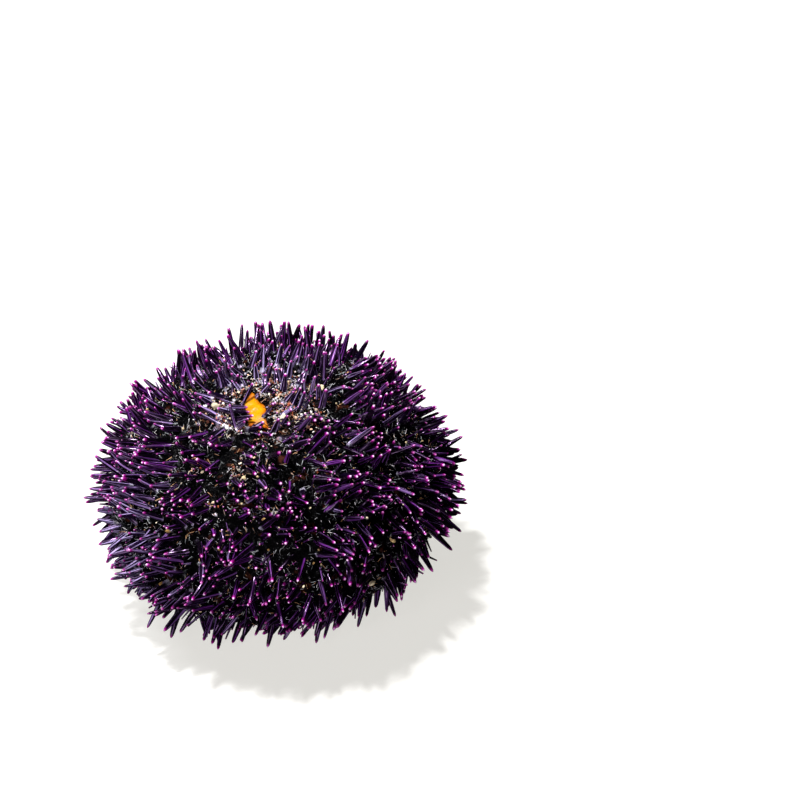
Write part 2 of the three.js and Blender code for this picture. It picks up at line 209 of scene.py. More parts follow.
def openingRadius(angle):
    # where a line at that angle crosses the star's edge: cross products of the line, the edge and its start
    start = opening["corners"]
    edge = np.roll(start, -1, axis=0) - start
    x, y = np.cos(angle)[..., None], np.sin(angle)[..., None]
    across = x * edge[:, 1] - y * edge[:, 0]
    reach = (start[:, 0] * edge[:, 1] - start[:, 1] * edge[:, 0]) / across
    share = (start[:, 0] * y - start[:, 1] * x) / across
    isOnEdge = (share > -1e-9) & (share < 1 + 1e-9) & (reach > 0)
    return np.where(isOnEdge, reach, 0).max(axis=-1)


def insideOpening(points, margin):
    # nearer to the opening's middle, seen from above, than the star's edge and the margin
    away = points[..., :2] - opening["middle"]
    reach = openingRadius(np.arctan2(away[..., 1], away[..., 0])) + margin
    return (points[..., 2] > 0) & (np.hypot(away[..., 0], away[..., 1]) < reach)


def insideMouth(points, margin):
    # on the belly, nearer to the axis than the mouth's radius and the margin
    return (points[..., 2] < 0) & (np.hypot(points[..., 0], points[..., 1]) < mouth["radius"] + margin)


def bareness(points):
    # 1 in the middle of a bare spot, falling to 0 at its edge, with an uneven outline
    found = np.full(len(points), -9.0)
    for longitude, latitude, radius in bareSpots:
        middle = shellPoint(np.radians(latitude), np.radians(longitude))
        found = np.maximum(found, 1 - np.linalg.norm(points - middle, axis=-1) / radius)
    return found + bareEdge["unevenness"] * clouds(points, bareEdge["size"], 17)


matPlan = {"rise": 1.7, "apexFrom": 9.0, "apexTo": 19.0, "mouthFrom": 10.0, "mouthTo": 22.0}


def matRise(points):
    # how far the mat of feet and small spines lifts the visible skin: not at all at the opening and the mouth
    fromApex = np.linalg.norm(points - [0, 0, shell["crownRise"]], axis=-1)
    fromMouth = np.linalg.norm(points - [0, 0, -shell["bellyDrop"]], axis=-1)
    share = smoothstep(fromApex, matPlan["apexFrom"], matPlan["apexTo"])
    return matPlan["rise"] * share * smoothstep(fromMouth, matPlan["mouthFrom"], matPlan["mouthTo"])


def findShift():
    # the CAD is centred on its spines' outer box, so the roe's box tells how far the shell's axis was moved
    corners = opening["corners"]
    angle = np.arctan2(corners[:, 1], corners[:, 0])
    reach = openingRadius(angle) - opening["roeGap"]
    level = np.full(len(angle), shell["crownRise"] - opening["roeFoot"])
    x = opening["middle"][0] + reach * np.cos(angle)
    y = opening["middle"][1] + reach * np.sin(angle)
    high = leaned(np.stack([x, y, level], axis=-1)).max(axis=0)
    return (high - np.array(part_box("roe")[1]) * 1000) * [1, 1, 0]


shift = findShift()


def place(points):
    # leaned, moved to where the CAD has the shell, and turned from millimetres into metres
    return (leaned(points) - shift) * 0.001


def makePiece(name, points, faceSets, material, attributes=None, smooth=True):
    # points in the shell's frame; faceSets are arrays of corners, one array for each number of corners
    mesh = bpy.data.meshes.new(name)
    placedPoints = place(points.reshape(-1, 3)).astype(np.float32)
    faceSets = [faces.reshape(-1, faces.shape[-1]) for faces in faceSets if faces.size]
    corners = np.concatenate([faces.ravel() for faces in faceSets]).astype(np.int32)
    sizes = np.concatenate([np.full(len(faces), faces.shape[1]) for faces in faceSets])
    mesh.vertices.add(len(placedPoints))
    mesh.vertices.foreach_set("co", placedPoints.ravel())
    mesh.loops.add(len(corners))
    mesh.loops.foreach_set("vertex_index", corners)
    mesh.polygons.add(len(sizes))
    mesh.polygons.foreach_set("loop_start", np.concatenate([[0], np.cumsum(sizes)[:-1]]).astype(np.int32))
    mesh.polygons.foreach_set("use_smooth", np.full(len(sizes), smooth))
    mesh.update(calc_edges=True)
    mesh.validate()
    for key, values in (attributes or {}).items():
        isVector = values.shape[-1] == 3
        layer = mesh.attributes.new(key, "FLOAT_VECTOR" if isVector else "FLOAT", "POINT")
        layer.data.foreach_set("vector" if isVector else "value", values.astype(np.float32).ravel())
    mesh.materials.append(material)
    piece = bpy.data.objects.new(name, mesh)
    bpy.context.scene.collection.objects.link(piece)
    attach(piece, "root")
    print("made", name, "with", int((sizes - 2).sum()), "triangles")
    return piece


def ringFaces(count, rings, sides):
    # quads between neighbouring rings of count tubes, and fans to a pole at each end
    tube = np.arange(count)[:, None, None] * (rings * sides + 2)
    ring = np.arange(rings - 1)[None, :, None] * sides
    side = np.arange(sides)[None, None, :]
    nextSide = (side + 1) % sides
    quads = np.stack([
        tube + ring + side,
        tube + ring + nextSide,
        tube + ring + sides + nextSide,
        tube + ring + sides + side,
    ], axis=-1)
    flat = tube[:, 0, :]
    foot = flat + np.full(sides, rings * sides)
    lastRing = (rings - 1) * sides
    footFan = np.stack([foot, flat + nextSide[0], flat + side[0]], axis=-1)
    tipFan = np.stack([foot + 1, flat + lastRing + side[0], flat + lastRing + nextSide[0]], axis=-1)
    return [quads.reshape(-1, 4), np.concatenate([footFan.reshape(-1, 3), tipFan.reshape(-1, 3)])]


def tubes(path, radii, sides, twist):
    # rings round each path, in a frame carried along it; path is (tubes, rings, 3), radii (tubes, rings)
    count, rings = radii.shape
    tangent = unit(np.gradient(path, axis=1))
    helper = np.where(np.abs(tangent[:, 0, 2:]) < 0.8, [0.0, 0.0, 1.0], [1.0, 0.0, 0.0])
    first = unit(np.cross(tangent[:, 0], helper))
    sideways = np.empty_like(path)
    for ring in range(rings):
        first = unit(first - np.sum(first * tangent[:, ring], axis=-1, keepdims=True) * tangent[:, ring])
        sideways[:, ring] = first
    other = np.cross(tangent, sideways)
    angle = 2 * math.pi * np.arange(sides) / sides + twist[:, None]
    around = (
        sideways[:, :, None] * np.cos(angle)[:, None, :, None]
        + other[:, :, None] * np.sin(angle)[:, None, :, None]
    )
    surface = path[:, :, None] + around * radii[:, :, None, None]
    points = np.concatenate([surface.reshape(count, -1, 3), path[:, :1], path[:, -1:]], axis=1)
    return points, ringFaces(count, rings, sides), angle


def perPoint(values, rings, sides):
    # one value for each tube, or for each ring of each tube, repeated for all points of the tubes
    if values.ndim == 1:
        values = np.repeat(values[:, None], rings, axis=1)
    surface = np.repeat(values[:, :, None], sides, axis=2).reshape(len(values), -1)
    return np.concatenate([surface, values[:, :1], values[:, -1:]], axis=1)[..., None]


class Wire:  # a socket in a shader: arithmetic on it adds Math nodes
    def __init__(self, paint, socket):
        self.paint = paint
        self.socket = socket

    def math(self, operation, first, second):
        return self.paint.node("ShaderNodeMath", {"operation": operation}, {0: first, 1: second})

    def __add__(self, other):
        return self.math("ADD", self, other)

    def __sub__(self, other):
        return self.math("SUBTRACT", self, other)

    def __rsub__(self, other):
        return self.math("SUBTRACT", other, self)

    def __mul__(self, other):
        return self.math("MULTIPLY", self, other)

    def __gt__(self, other):
        return self.math("GREATER_THAN", self, other)

    def clamped(self):
        return self.math("MINIMUM", self.math("MAXIMUM", self, 0.0), 1.0)

    __radd__ = __add__
    __rmul__ = __mul__


class Paint:  # one material and the ways to add nodes to it
    def __init__(self, name, settings):
        self.material = bpy.data.materials.new(name)
        self.material.use_nodes = True
        self.tree = self.material.node_tree
        self.shader = self.tree.nodes["Principled BSDF"]
        for socket, value in settings.items():
            self.shader.inputs[socket].default_value = value

    def node(self, kind, settings=None, values=None, output=0):
        made = self.tree.nodes.new(kind)
        for key, value in (settings or {}).items():
            if key == "stops":
                self.setStops(made.color_ramp, value)
            else:
                setattr(made, key, value)
        for key, value in (values or {}).items():
            if isinstance(value, Wire):
                self.tree.links.new(value.socket, made.inputs[key])
            else:
                made.inputs[key].default_value = value
        return Wire(self, made.outputs[output])

    def setStops(self, ramp, stops):
        for count, (position, colour) in enumerate(stops):
            stop = ramp.elements[count] if count < 2 else ramp.elements.new(position)
            stop.position = position
            stop.color = (*colour, 1)

    def mix(self, factor, first, second):
        values = {0: factor, 6: self.asColour(first), 7: self.asColour(second)}
        return self.node("ShaderNodeMix", {"data_type": "RGBA"}, values, 2)

    def asColour(self, value):
        return value if isinstance(value, Wire) else (*value, 1)

    def ramp(self, factor, stops):
        return self.node("ShaderNodeValToRGB", {"stops": stops}, {"Fac": factor})

    def attribute(self, name, output="Fac"):
        return self.node("ShaderNodeAttribute", {"attribute_name": name}, None, output)

    def noise(self, vector, scale, detail=3.0, roughness=0.5):
        values = {"Vector": vector, "Scale": scale, "Detail": detail, "Roughness": roughness}
        return self.node("ShaderNodeTexNoise", None, values)

    def cells(self, vector, scale, output):
        return self.node("ShaderNodeTexVoronoi", None, {"Vector": vector, "Scale": scale}, output)

    def place(self):
        return self.node("ShaderNodeTexCoord", None, None, "Object")

    def feed(self, socket, wire):
        self.tree.links.new(wire.socket, self.shader.inputs[socket])

    def bump(self, height, strength, distance):
        values = {"Height": height, "Strength": strength, "Distance": distance}
        self.feed("Normal", self.node("ShaderNodeBump", None, values))


tuftPlan = {"count": 100, "jitter": 0.5, "reach": 8.5, "pullSpread": 0.6}
leanPlan = {
    "out": 0.5,
    "across": 0.27,
    "down": 0.16,
    "wavesAcross": [((1 / 9, 0, 0), 1.1), ((0, 1 / 11, -1 / 8), 0)],  # radians per millimetre, and radians
    "wavesDown": [((0, 1 / 9, 0), 2.17), ((1 / 10, 0, 1 / 9), 0)],
    "sweep": 1.1,
    "sweepAt": (math.radians(-72), math.radians(-12)),  # longitude and latitude
    "sweepSize": (0.6, 0.5),
    "droop": 1.05,
    "droopAt": math.radians(-40),
    "droopHeight": 0.6,
    "splayBand": (0.7, 1.15),  # latitudes between which the splay round the apex sets in
}


def sumOfWaves(waves, points):
    # the sum of sines of each direction times the point, plus a phase
    return sum(np.sin(points @ np.array(direction) + phase) for direction, phase in waves)


def lie(latitude, longitude, combed=1.0, splay=0.0, swept=1.0):
    # the way that spines lie: the normal plus leans to the east and south. Each lean is a sum of sines;
    # a bell low on the front sweeps them left, one under the girth lets them droop, and a splay at the apex
    # opens them
    points = shellPoint(latitude, longitude)
    normal = shellNormal(latitude, longitude)
    turn = longitude - leanPlan["sweepAt"][0]
    fromSweep = np.arctan2(np.sin(turn), np.cos(turn))
    sweep = bell(fromSweep, leanPlan["sweepSize"][0])
    sweep *= swept * leanPlan["sweep"] * bell(latitude - leanPlan["sweepAt"][1], leanPlan["sweepSize"][1])
    outwards = leanPlan["out"] * np.maximum(0, np.sin(latitude))
    droop = leanPlan["droop"] * bell(latitude - leanPlan["droopAt"], leanPlan["droopHeight"])
    east = eastAt(longitude)
    south = np.cross(east, normal)
    eastward = leanPlan["across"] * sumOfWaves(leanPlan["wavesAcross"], points) - sweep
    southward = leanPlan["down"] * sumOfWaves(leanPlan["wavesDown"], points) + outwards + droop
    leaning = (east * eastward[:, None] + south * southward[:, None]) * combed
    return unit(normal + leaning + south * (splay * smoothstep(latitude, *leanPlan["splayBand"]))[:, None])


growths = [  # longitude and latitude in degrees, size both ways in radians, and share of the length
    (-48, -22, 0.4, 0.4, 0.25), (-119, -26, 0.2, 0.35, 0.36), (-90, -22, 0.15, 0.3, -0.25),
    (-155, 0, 0.35, 0.35, -0.2),
]
lengthPlan = {"apexBand": (0.95, 1.5), "apexLoss": 0.5, "bellyBand": (0.35, 1.2), "bellyLoss": 0.15}


def lengthShare(latitude, longitude):
    # shorter at the apex and under the belly, longer or shorter in a few places
    apex = smoothstep(latitude, *lengthPlan["apexBand"])
    belly = smoothstep(-latitude, *lengthPlan["bellyBand"])
    grown = np.ones(len(latitude))
    for east, north, wide, high, growth in growths:
        turn = longitude - math.radians(east)
        fromEast = np.arctan2(np.sin(turn), np.cos(turn))
        grown += growth * bell(fromEast, wide) * bell(latitude - math.radians(north), high)
    return (1 - lengthPlan["apexLoss"] * apex) * (1 - lengthPlan["bellyLoss"] * belly) * grown


apexGapBand = (0.75, 1.1)  # latitudes between which spines are left out near the apex


def isOpenGround(feet, openingMargin, mouthMargin, bareLimit):
    # true for the feet that stand clear of the opening, the mouth and the bare spots
    isClear = ~insideOpening(feet, openingMargin) & ~insideMouth(feet, mouthMargin)
    return isClear & (bareness(feet) < bareLimit)


class Stand:  # the spines planted so far, as arrays with room for more
    def __init__(self, room):
        self.foot = np.zeros((room, 3))
        self.tip = np.zeros((room, 3))
        self.base = np.zeros(room)
        self.end = np.zeros(room)
        self.count = 0
        latitude, longitude = scatter(tuftPlan["count"], tuftPlan["jitter"], 11)
        self.tuftFeet = shellPoint(latitude, longitude)
        self.tuftPlaces = (latitude, longitude)

    def add(self, foot, tip, base, end):
        self.foot[self.count] = foot
        self.tip[self.count] = tip
        self.base[self.count] = base
        self.end[self.count] = end
        self.count += 1

    def spaceTo(self, near, foot, tip, base, end):
        # least free space from one spine to those near it, sampled at nine places along it
        share = np.linspace(0, 1, 9)[:, None]
        onSpine = foot + (tip - foot) * share
        along = self.tip[near] - self.foot[near]
        fromFoot = onSpine[:, None] - self.foot[near][None]
        onOther = np.clip((fromFoot * along).sum(-1) / (along ** 2).sum(-1), 0, 1)
        gap = np.linalg.norm(fromFoot - onOther[..., None] * along, axis=-1)
        gap -= base + (end - base) * share
        gap -= self.base[near] + (self.end[near] - self.base[near]) * onOther
        return gap.min()

    def plant(self, plan):
        # each spine leans as its place does, is gathered into the nearest tuft as far as there is room, and
        # stops on the table; gives back how many there are then
        index = np.arange(plan["count"])
        latitude, longitude = scatter(plan["count"], plan["jitter"], plan["channel"])
        feet = shellPoint(latitude, longitude)
        toLength, toPull, toThickness, toWander = (plan["channel"] + step for step in (10, 11, 12, 13))
        wander = np.stack([chance(index, toWander + k) for k in range(3)], axis=-1)
        lies = lie(latitude, longitude, plan["combed"], plan["splay"], plan["swept"])
        aims = unit(lies + plan["wander"] * wander)
        spread = 1 + plan["lengthSpread"] * chance(index, toLength)
        lengths = plan["length"] * spread * lengthShare(latitude, longitude)
        alone = feet + aims * lengths[:, None]
        nearest = np.argmin(np.linalg.norm(feet[:, None] - self.tuftFeet[None], axis=-1), axis=1)
        pull = plan["pull"] * (1 - tuftPlan["pullSpread"] * (1 + chance(index, toPull)) / 2)
        tuftTops = self.tuftFeet + lie(*self.tuftPlaces, swept=plan["swept"]) * tuftPlan["reach"]
        gathered = alone + (tuftTops[nearest] - alone) * pull[:, None]
        thickness = 1 + plan["thicknessSpread"] * chance(index, toThickness)
        nearApex = smoothstep(latitude, *apexGapBand)
        isLeftOut = (chance(index, toThickness + 9) + 1) / 2 < plan["apexGaps"] * nearApex
        down = np.array([math.sin(shell["lean"]), 0, -math.cos(shell["lean"])])  # to the table
        for n in index[isOpenGround(feet, *plan["margins"]) & ~isLeftOut]:
            base, end = plan["radius"][0] * thickness[n], plan["radius"][1] * thickness[n]
            height = leaned(feet[n])[2] - end
            away = np.linalg.norm(self.foot[:self.count] - feet[n], axis=-1)
            near = np.flatnonzero(away <= 2 * plan["length"])
            for share in (0, 1 / 3, 2 / 3, 1):
                aim = unit(gathered[n] + (alone[n] - gathered[n]) * share - feet[n])
                fall = float(aim @ down)
                length = min(lengths[n], height / fall) if fall > 0 else lengths[n]
                tip = feet[n] + aim * length
                if not len(near) or self.spaceTo(near, feet[n], tip, base, end) > plan["clearance"]:
                    self.add(feet[n], tip, base, end)
                    break
        return self.count


largePlan = {  # the spines that the solids have too, by the same rule
    "count": 500, "jitter": 0.34, "channel": 21, "length": 8.6, "lengthSpread": 0.2, "wander": 0.42,
    "radius": (1.05, 0.44),  # of the corners of the CAD's three-sided spines, base and tip
    "thicknessSpread": 0.2, "clearance": 0.12, "combed": 0.75, "pull": 0.5,
    "splay": 0.0, "swept": 1.0, "apexGaps": 0.0,
    "margins": (0.9, 0.8, 9),  # from the opening and the mouth, and how bare the ground may be
}
middlePlan = {
    "count": 2700, "jitter": 0.5, "channel": 221, "length": 7.8, "lengthSpread": 0.27, "wander": 0.5,
    "radius": (0.82, 0.38), "thicknessSpread": 0.2, "clearance": -0.3, "combed": 0.6, "pull": 0.9,
    "splay": 1.1, "swept": 2.8, "apexGaps": 0.4, "margins": (0.6, 0.4, 0.45),
}
smallPlan = {
    "count": 4600, "jitter": 0.5, "channel": 321, "length": 5.2, "lengthSpread": 0.35, "wander": 0.7,
    "radius": (0.44, 0.18), "thicknessSpread": 0.3, "clearance": -0.3, "combed": 0.6, "pull": 0.3,
    "splay": 0.6, "swept": 2.8, "apexGaps": 0.3, "margins": (0.3, -1.5, 0.9),
}
rimSpines = [  # foot, tip and base radius of the spines that lie over the opening's edge
    ((-4.6, 0.1, 28.0), (-1.8, 3.9, 31.5), 0.46),
    ((-8.4, 0.2, 27.7), (-3.0, -3.4, 30.3), 0.64),
    ((-8.4, -1.6, 27.7), (-2.4, -5.2, 30.3), 0.66),
    ((-8.2, -4.2, 27.6), (-1.5, -6.5, 30.2), 0.62),
    ((0.7, -4.4, 27.9), (3.8, -3.3, 31.0), 0.52),
    ((3.9, -9.2, 27.2), (6.7, -8.3, 31.0), 0.52),
    ((4.6, 2.8, 28.0), (0.9, 2.4, 30.8), 0.56),
    ((-0.2, -9.2, 27.3), (3.2, -14.3, 30.4), 0.56),
    ((-1.6, -9.4, 27.2), (0.3, -13.8, 30.4), 0.48),
    ((-5.6, -8.8, 27.3), (-7.2, -3.0, 31.3), 0.56),
    ((-7.4, 3.8, 27.7), (-5.6, 8.2, 31.0), 0.6),
    ((0.9, 6.6, 28.0), (2.4, 11.2, 31.2), 0.56),
]
rimTipRadius = 0.36


stand = Stand(largePlan["count"] + len(rimSpines) + middlePlan["count"] + smallPlan["count"])
largeEnd = stand.plant(largePlan)
for foot, tip, base in rimSpines:
    stand.add(foot, tip, base, rimTipRadius)
rimEnd = stand.count
middleEnd = stand.plant(middlePlan)
smallEnd = stand.plant(smallPlan)
print("spines planted", largeEnd, rimEnd - largeEnd, middleEnd - rimEnd, smallEnd - middleEnd)


palePlan = {
    "apexAt": [1.0, 3.5, shell["crownRise"]], "apexShare": 0.72, "apexReach": (18, 7),
    "fanAt": (8.0, -151.0),  # latitude and longitude in degrees
    "fanShare": 1.3, "fanSize": 12,
    "chanceShare": 0.4, "chanceBand": (0.8, 1.0),
}


def paleness(feet):
    # how pale and slate a spine is: most round the apex, partly its own paler colour and partly painted light
    # from above, and, by a bell, in a fan on the left, which is a painted sheen of the light from that side
    fromApex = np.linalg.norm(feet - palePlan["apexAt"], axis=-1)
    far, near = palePlan["apexReach"]
    fromFan = np.linalg.norm(feet - shellPoint(*np.radians(palePlan["fanAt"])), axis=-1)
    apexShare = palePlan["apexShare"] * smoothstep(-fromApex, -far, -near)
    return apexShare + palePlan["fanShare"] * bell(fromFan, palePlan["fanSize"])


spinePlan = {
    "underMat": 0.7,  # share of the mat's rise that hides a spine
    "bowPower": 1.5,
    "tipRise": 0.4,  # of the very tip over the last ring, as a share of the end's radius
    "grainStretch": 0.02, "grainShift": 50,  # along the spine, in the space of its streaks
}


def growSpines(name, first, last, form, seed):
    # a spine: its radius falls evenly from base to tip, times a swelling with a collar at the foot, and its
    # path bows aside with a power of the way along
    rng = np.random.default_rng(seed)
    foot, tip = stand.foot[first:last], stand.tip[first:last]
    base, end = stand.base[first:last] * form["fullness"], stand.end[first:last] * form["fullness"]
    count, rings, sides = last - first, len(form["share"]), form["sides"]
    share = np.array(form["share"])
    # the share of the length that lies under the mat is left out
    sunk = spinePlan["underMat"] * matRise(foot) / np.linalg.norm(tip - foot, axis=-1)
    foot = foot + (tip - foot) * sunk[:, None]
    base = base + (end - base) * sunk
    length = np.linalg.norm(tip - foot, axis=-1)
    path = foot[:, None] + (tip - foot)[:, None] * share[None, :, None]
    aside = unit(np.cross(tip - foot, rng.normal(size=(count, 3))))
    bow = rng.uniform(-1, 1, count) * form["bow"] * length
    path += aside[:, None] * (bow[:, None] * np.maximum(0, share) ** spinePlan["bowPower"])[..., None]
    radii = (base[:, None] + (end - base)[:, None] * np.clip(share, 0, 1)) * form["swell"]
    points, faces, angle = tubes(path, radii, sides, rng.uniform(0, 2 * math.pi, count))
    onwards = unit(path[:, -1] - path[:, -2])
    points[:, -1] = path[:, -1] + onwards * (end * spinePlan["tipRise"])[:, None]
    along = perPoint(np.broadcast_to(share, (count, rings)), rings, sides)
    along[:, -1] = 1.0
    tone = rng.uniform(0, 1, count)
    byChance = palePlan["chanceShare"] * smoothstep(rng.uniform(0, 1, count), *palePlan["chanceBand"])
    # paleness: partly own colour, partly painted light and sheen, plus some by chance, times a share for each
    # form
    pale = np.clip(paleness(foot) + byChance, 0, 1) * form["paleScale"]
    ringed = np.stack([np.cos(angle), np.sin(angle)], axis=-1)
    around = np.repeat(ringed[:, None], rings, axis=1).reshape(count, -1, 2)
    around = np.concatenate([around, np.zeros((count, 2, 2))], axis=1)
    lengthwise = along * length[:, None, None] * spinePlan["grainStretch"]
    lengthwise += rng.uniform(0, spinePlan["grainShift"], count)[:, None, None]
    looks = {
        "along": along,
        "tone": perPoint(tone, rings, sides),
        "pale": perPoint(pale, rings, sides),
        "grain": np.concatenate([around, lengthwise], axis=-1),
    }
    piece = makePiece(name, points, faces, spinePaint, looks)
    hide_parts("urchin")


def paintSpines():
    # violet-black, slate where pale, with a lilac foot there, a magenta end and a pink tip; the streaks'
    # bright lines, the tip's pink-white end and part of the paleness are painted highlights and sheen
    paint = Paint("spine", {"IOR": 1.4, "Specular IOR Level": 0.9, "Specular Tint": (0.8, 0.5, 0.95, 1)})
    along = paint.attribute("along")
    tone = paint.attribute("tone")
    pale = paint.attribute("pale")
    grain = paint.attribute("grain", "Vector")
    # lengthwise streaks: ridges in the bump, and in the colour bright lines that are painted highlights
    ridgesAndSheen = ((paint.noise(grain, 1.8, 1.0, 0.5) - 0.58) * 12.0 + 0.2).clamped()
    dark = paint.mix(ridgesAndSheen, (0.0004, 0.0001, 0.0006), (0.12, 0.016, 0.2))
    slate = paint.mix(ridgesAndSheen, (0.006, 0.002, 0.016), (0.66, 0.54, 0.98))
    shaft = paint.mix((pale + (tone - 0.5) * 0.2).clamped(), dark, slate)
    purple = ((along - 0.45) * 1.6).clamped() * (tone * 0.6 + 0.2)
    shaft = paint.mix(purple * 0.6, shaft, paint.mix(ridgesAndSheen, (0.01, 0.001, 0.014), (0.075, 0.005, 0.095)))
    # lilac knob at the foot: its own colour, made brighter by the paleness and the streaks' painted highlights
    knob = (pale * 1.4 + (tone - 0.6) * 3).clamped() * (ridgesAndSheen * 0.6 + 0.4)
    shaft = paint.mix((1 - (along - 0.1 - pale * 0.1) * 14).clamped() * knob, shaft, (0.75, 0.7, 0.92))
    shaft = paint.mix((1 - (along - 0.01) * 30).clamped() * knob, shaft, (0.4, 0.12, 0.05))
    bright = 1 - (tone > 0.55) * 0.8
    rosy = ((along - 0.84 - tone * 0.05) * 9).clamped()
    shaft = paint.mix(rosy, shaft, (0.3, 0.003, 0.2))
    shaft = paint.mix(((along - 0.935) * 24).clamped() * bright, shaft, (1.0, 0.05, 0.78))
    # the pink-white very end, on the tips that get one by chance, is a painted highlight
    shaft = paint.mix(((along - 0.96) * 44).clamped() * bright, shaft, (1.0, 0.7, 1.0))
    paint.feed("Base Color", shaft)
    paint.feed("Roughness", 0.18 + ridgesAndSheen * 0.1)
    paint.bump(ridgesAndSheen, 0.4, 0.0001)
    return paint.material


spinePaint = paintSpines()
# the last field of each form scales how pale its spines are, and with it the painted sheen in that paleness
largeForm = {  # share of the length and swelling of the radius at each ring
    "share": [-0.18, 0.01, 0.06, 0.115, 0.45, 0.86, 0.955, 0.992],
    "swell": [1.25, 1.3, 1.2, 0.94, 1.12, 1.05, 0.82, 0.45],
    "sides": 7, "fullness": 0.86, "bow": 0.03, "paleScale": 1.0,
}
middleForm = {
    "share": [-0.2, 0.02, 0.08, 0.14, 0.5, 0.93, 0.988],
    "swell": [1.3, 1.35, 1.25, 0.96, 1.14, 0.92, 0.5],
    "sides": 6, "fullness": 1.0, "bow": 0.035, "paleScale": 1.0,
}
smallForm = {
    "share": [-0.15, 0.08, 0.5, 0.96],
    "swell": [1.2, 1.1, 1.0, 0.85],
    "sides": 5, "fullness": 1.0, "bow": 0.06, "paleScale": 1.0,
}
growSpines("large_spines", 0, largeEnd, largeForm, 1)
growSpines("rim_spines", largeEnd, rimEnd, {**largeForm, "fullness": 1.0, "bow": 0.02, "paleScale": 0.35}, 4)
growSpines("middle_spines", rimEnd, middleEnd, middleForm, 2)
growSpines("small_spines", middleEnd, smallEnd, smallForm, 3)

skinPlan = {
    "around": 440,
    "pitRings": 5,
    "crownRings": 110,
    "bellyRings": 48,
    "lipRings": 18,
    "lipLatitude": 1.32,  # where the belly ends and the mouth's soft ring begins
    "grainSize": 0.8,
    "grainHeight": 0.3,
    "lumpSize": 3.2,
    "lumpHeight": 0.4,
    "pitDepth": 2.6,
    "pitNarrowing": 0.12,
    "fineGrain": 0.45,  # size, as a share of the grain's
    "fineShare": 0.3,  # height, as a share of the grain's
    "foldCount": 15,  # folds of the soft ring round the mouth
    "foldHeight": 0.18,
    "tissueReach": (17, 5),  # from the apex: where tissue begins to show on the skin, and where most does
    "membraneReach": (10, 8.5),  # from the axis: where the mouth's bare membrane begins, and where it is whole
}


def paintSkin():
    # wet black tissue with grey-green glints and rust spots, brown and pink round the opening
    paint = Paint("skin", {"IOR": 1.45, "Specular IOR Level": 0.03})
    spot = paint.place()
    fine = paint.noise(spot, 1100.0, 5.0, 0.7)
    broad = paint.noise(spot, 200.0, 3.0, 0.5)
    rust = paint.noise(spot, 300.0, 2.0, 0.5)
    base = paint.ramp(fine, [
        (0.45, (0.0002, 0.0002, 0.0003)), (0.65, (0.0008, 0.0006, 0.001)), (0.8, (0.02, 0.018, 0.02)),
    ])
    base = paint.mix(((rust - 0.62) * 9).clamped() * 0.7, base, (0.07, 0.018, 0.009))
    pick = paint.node("ShaderNodeSeparateColor", None, {"Color": paint.cells(spot, 1700.0, "Color")}, 0)
    crumbs = paint.ramp(pick, [
        (0.0, (0.002, 0.001, 0.001)), (0.5, (0.01, 0.004, 0.003)), (0.75, (0.25, 0.08, 0.04)),
        (1.0, (0.8, 0.6, 0.45)),
    ])
    near = paint.attribute("crown")
    base = paint.mix((near * 0.15 + (broad - 0.58) * 4.0).clamped() * (near > 0.01), base, crumbs)
    base = paint.mix(paint.attribute("membrane"), base, (0.03, 0.012, 0.02))
    paint.feed("Base Color", base)
    paint.feed("Roughness", 0.07 + fine * 0.1)
    height = paint.noise(spot, 800.0, 4.0, 0.6) * 0.6 + paint.noise(spot, 2600.0, 2.0, 0.5) * 0.4
    paint.bump(height, 1.0, 0.0007)
    return paint.material


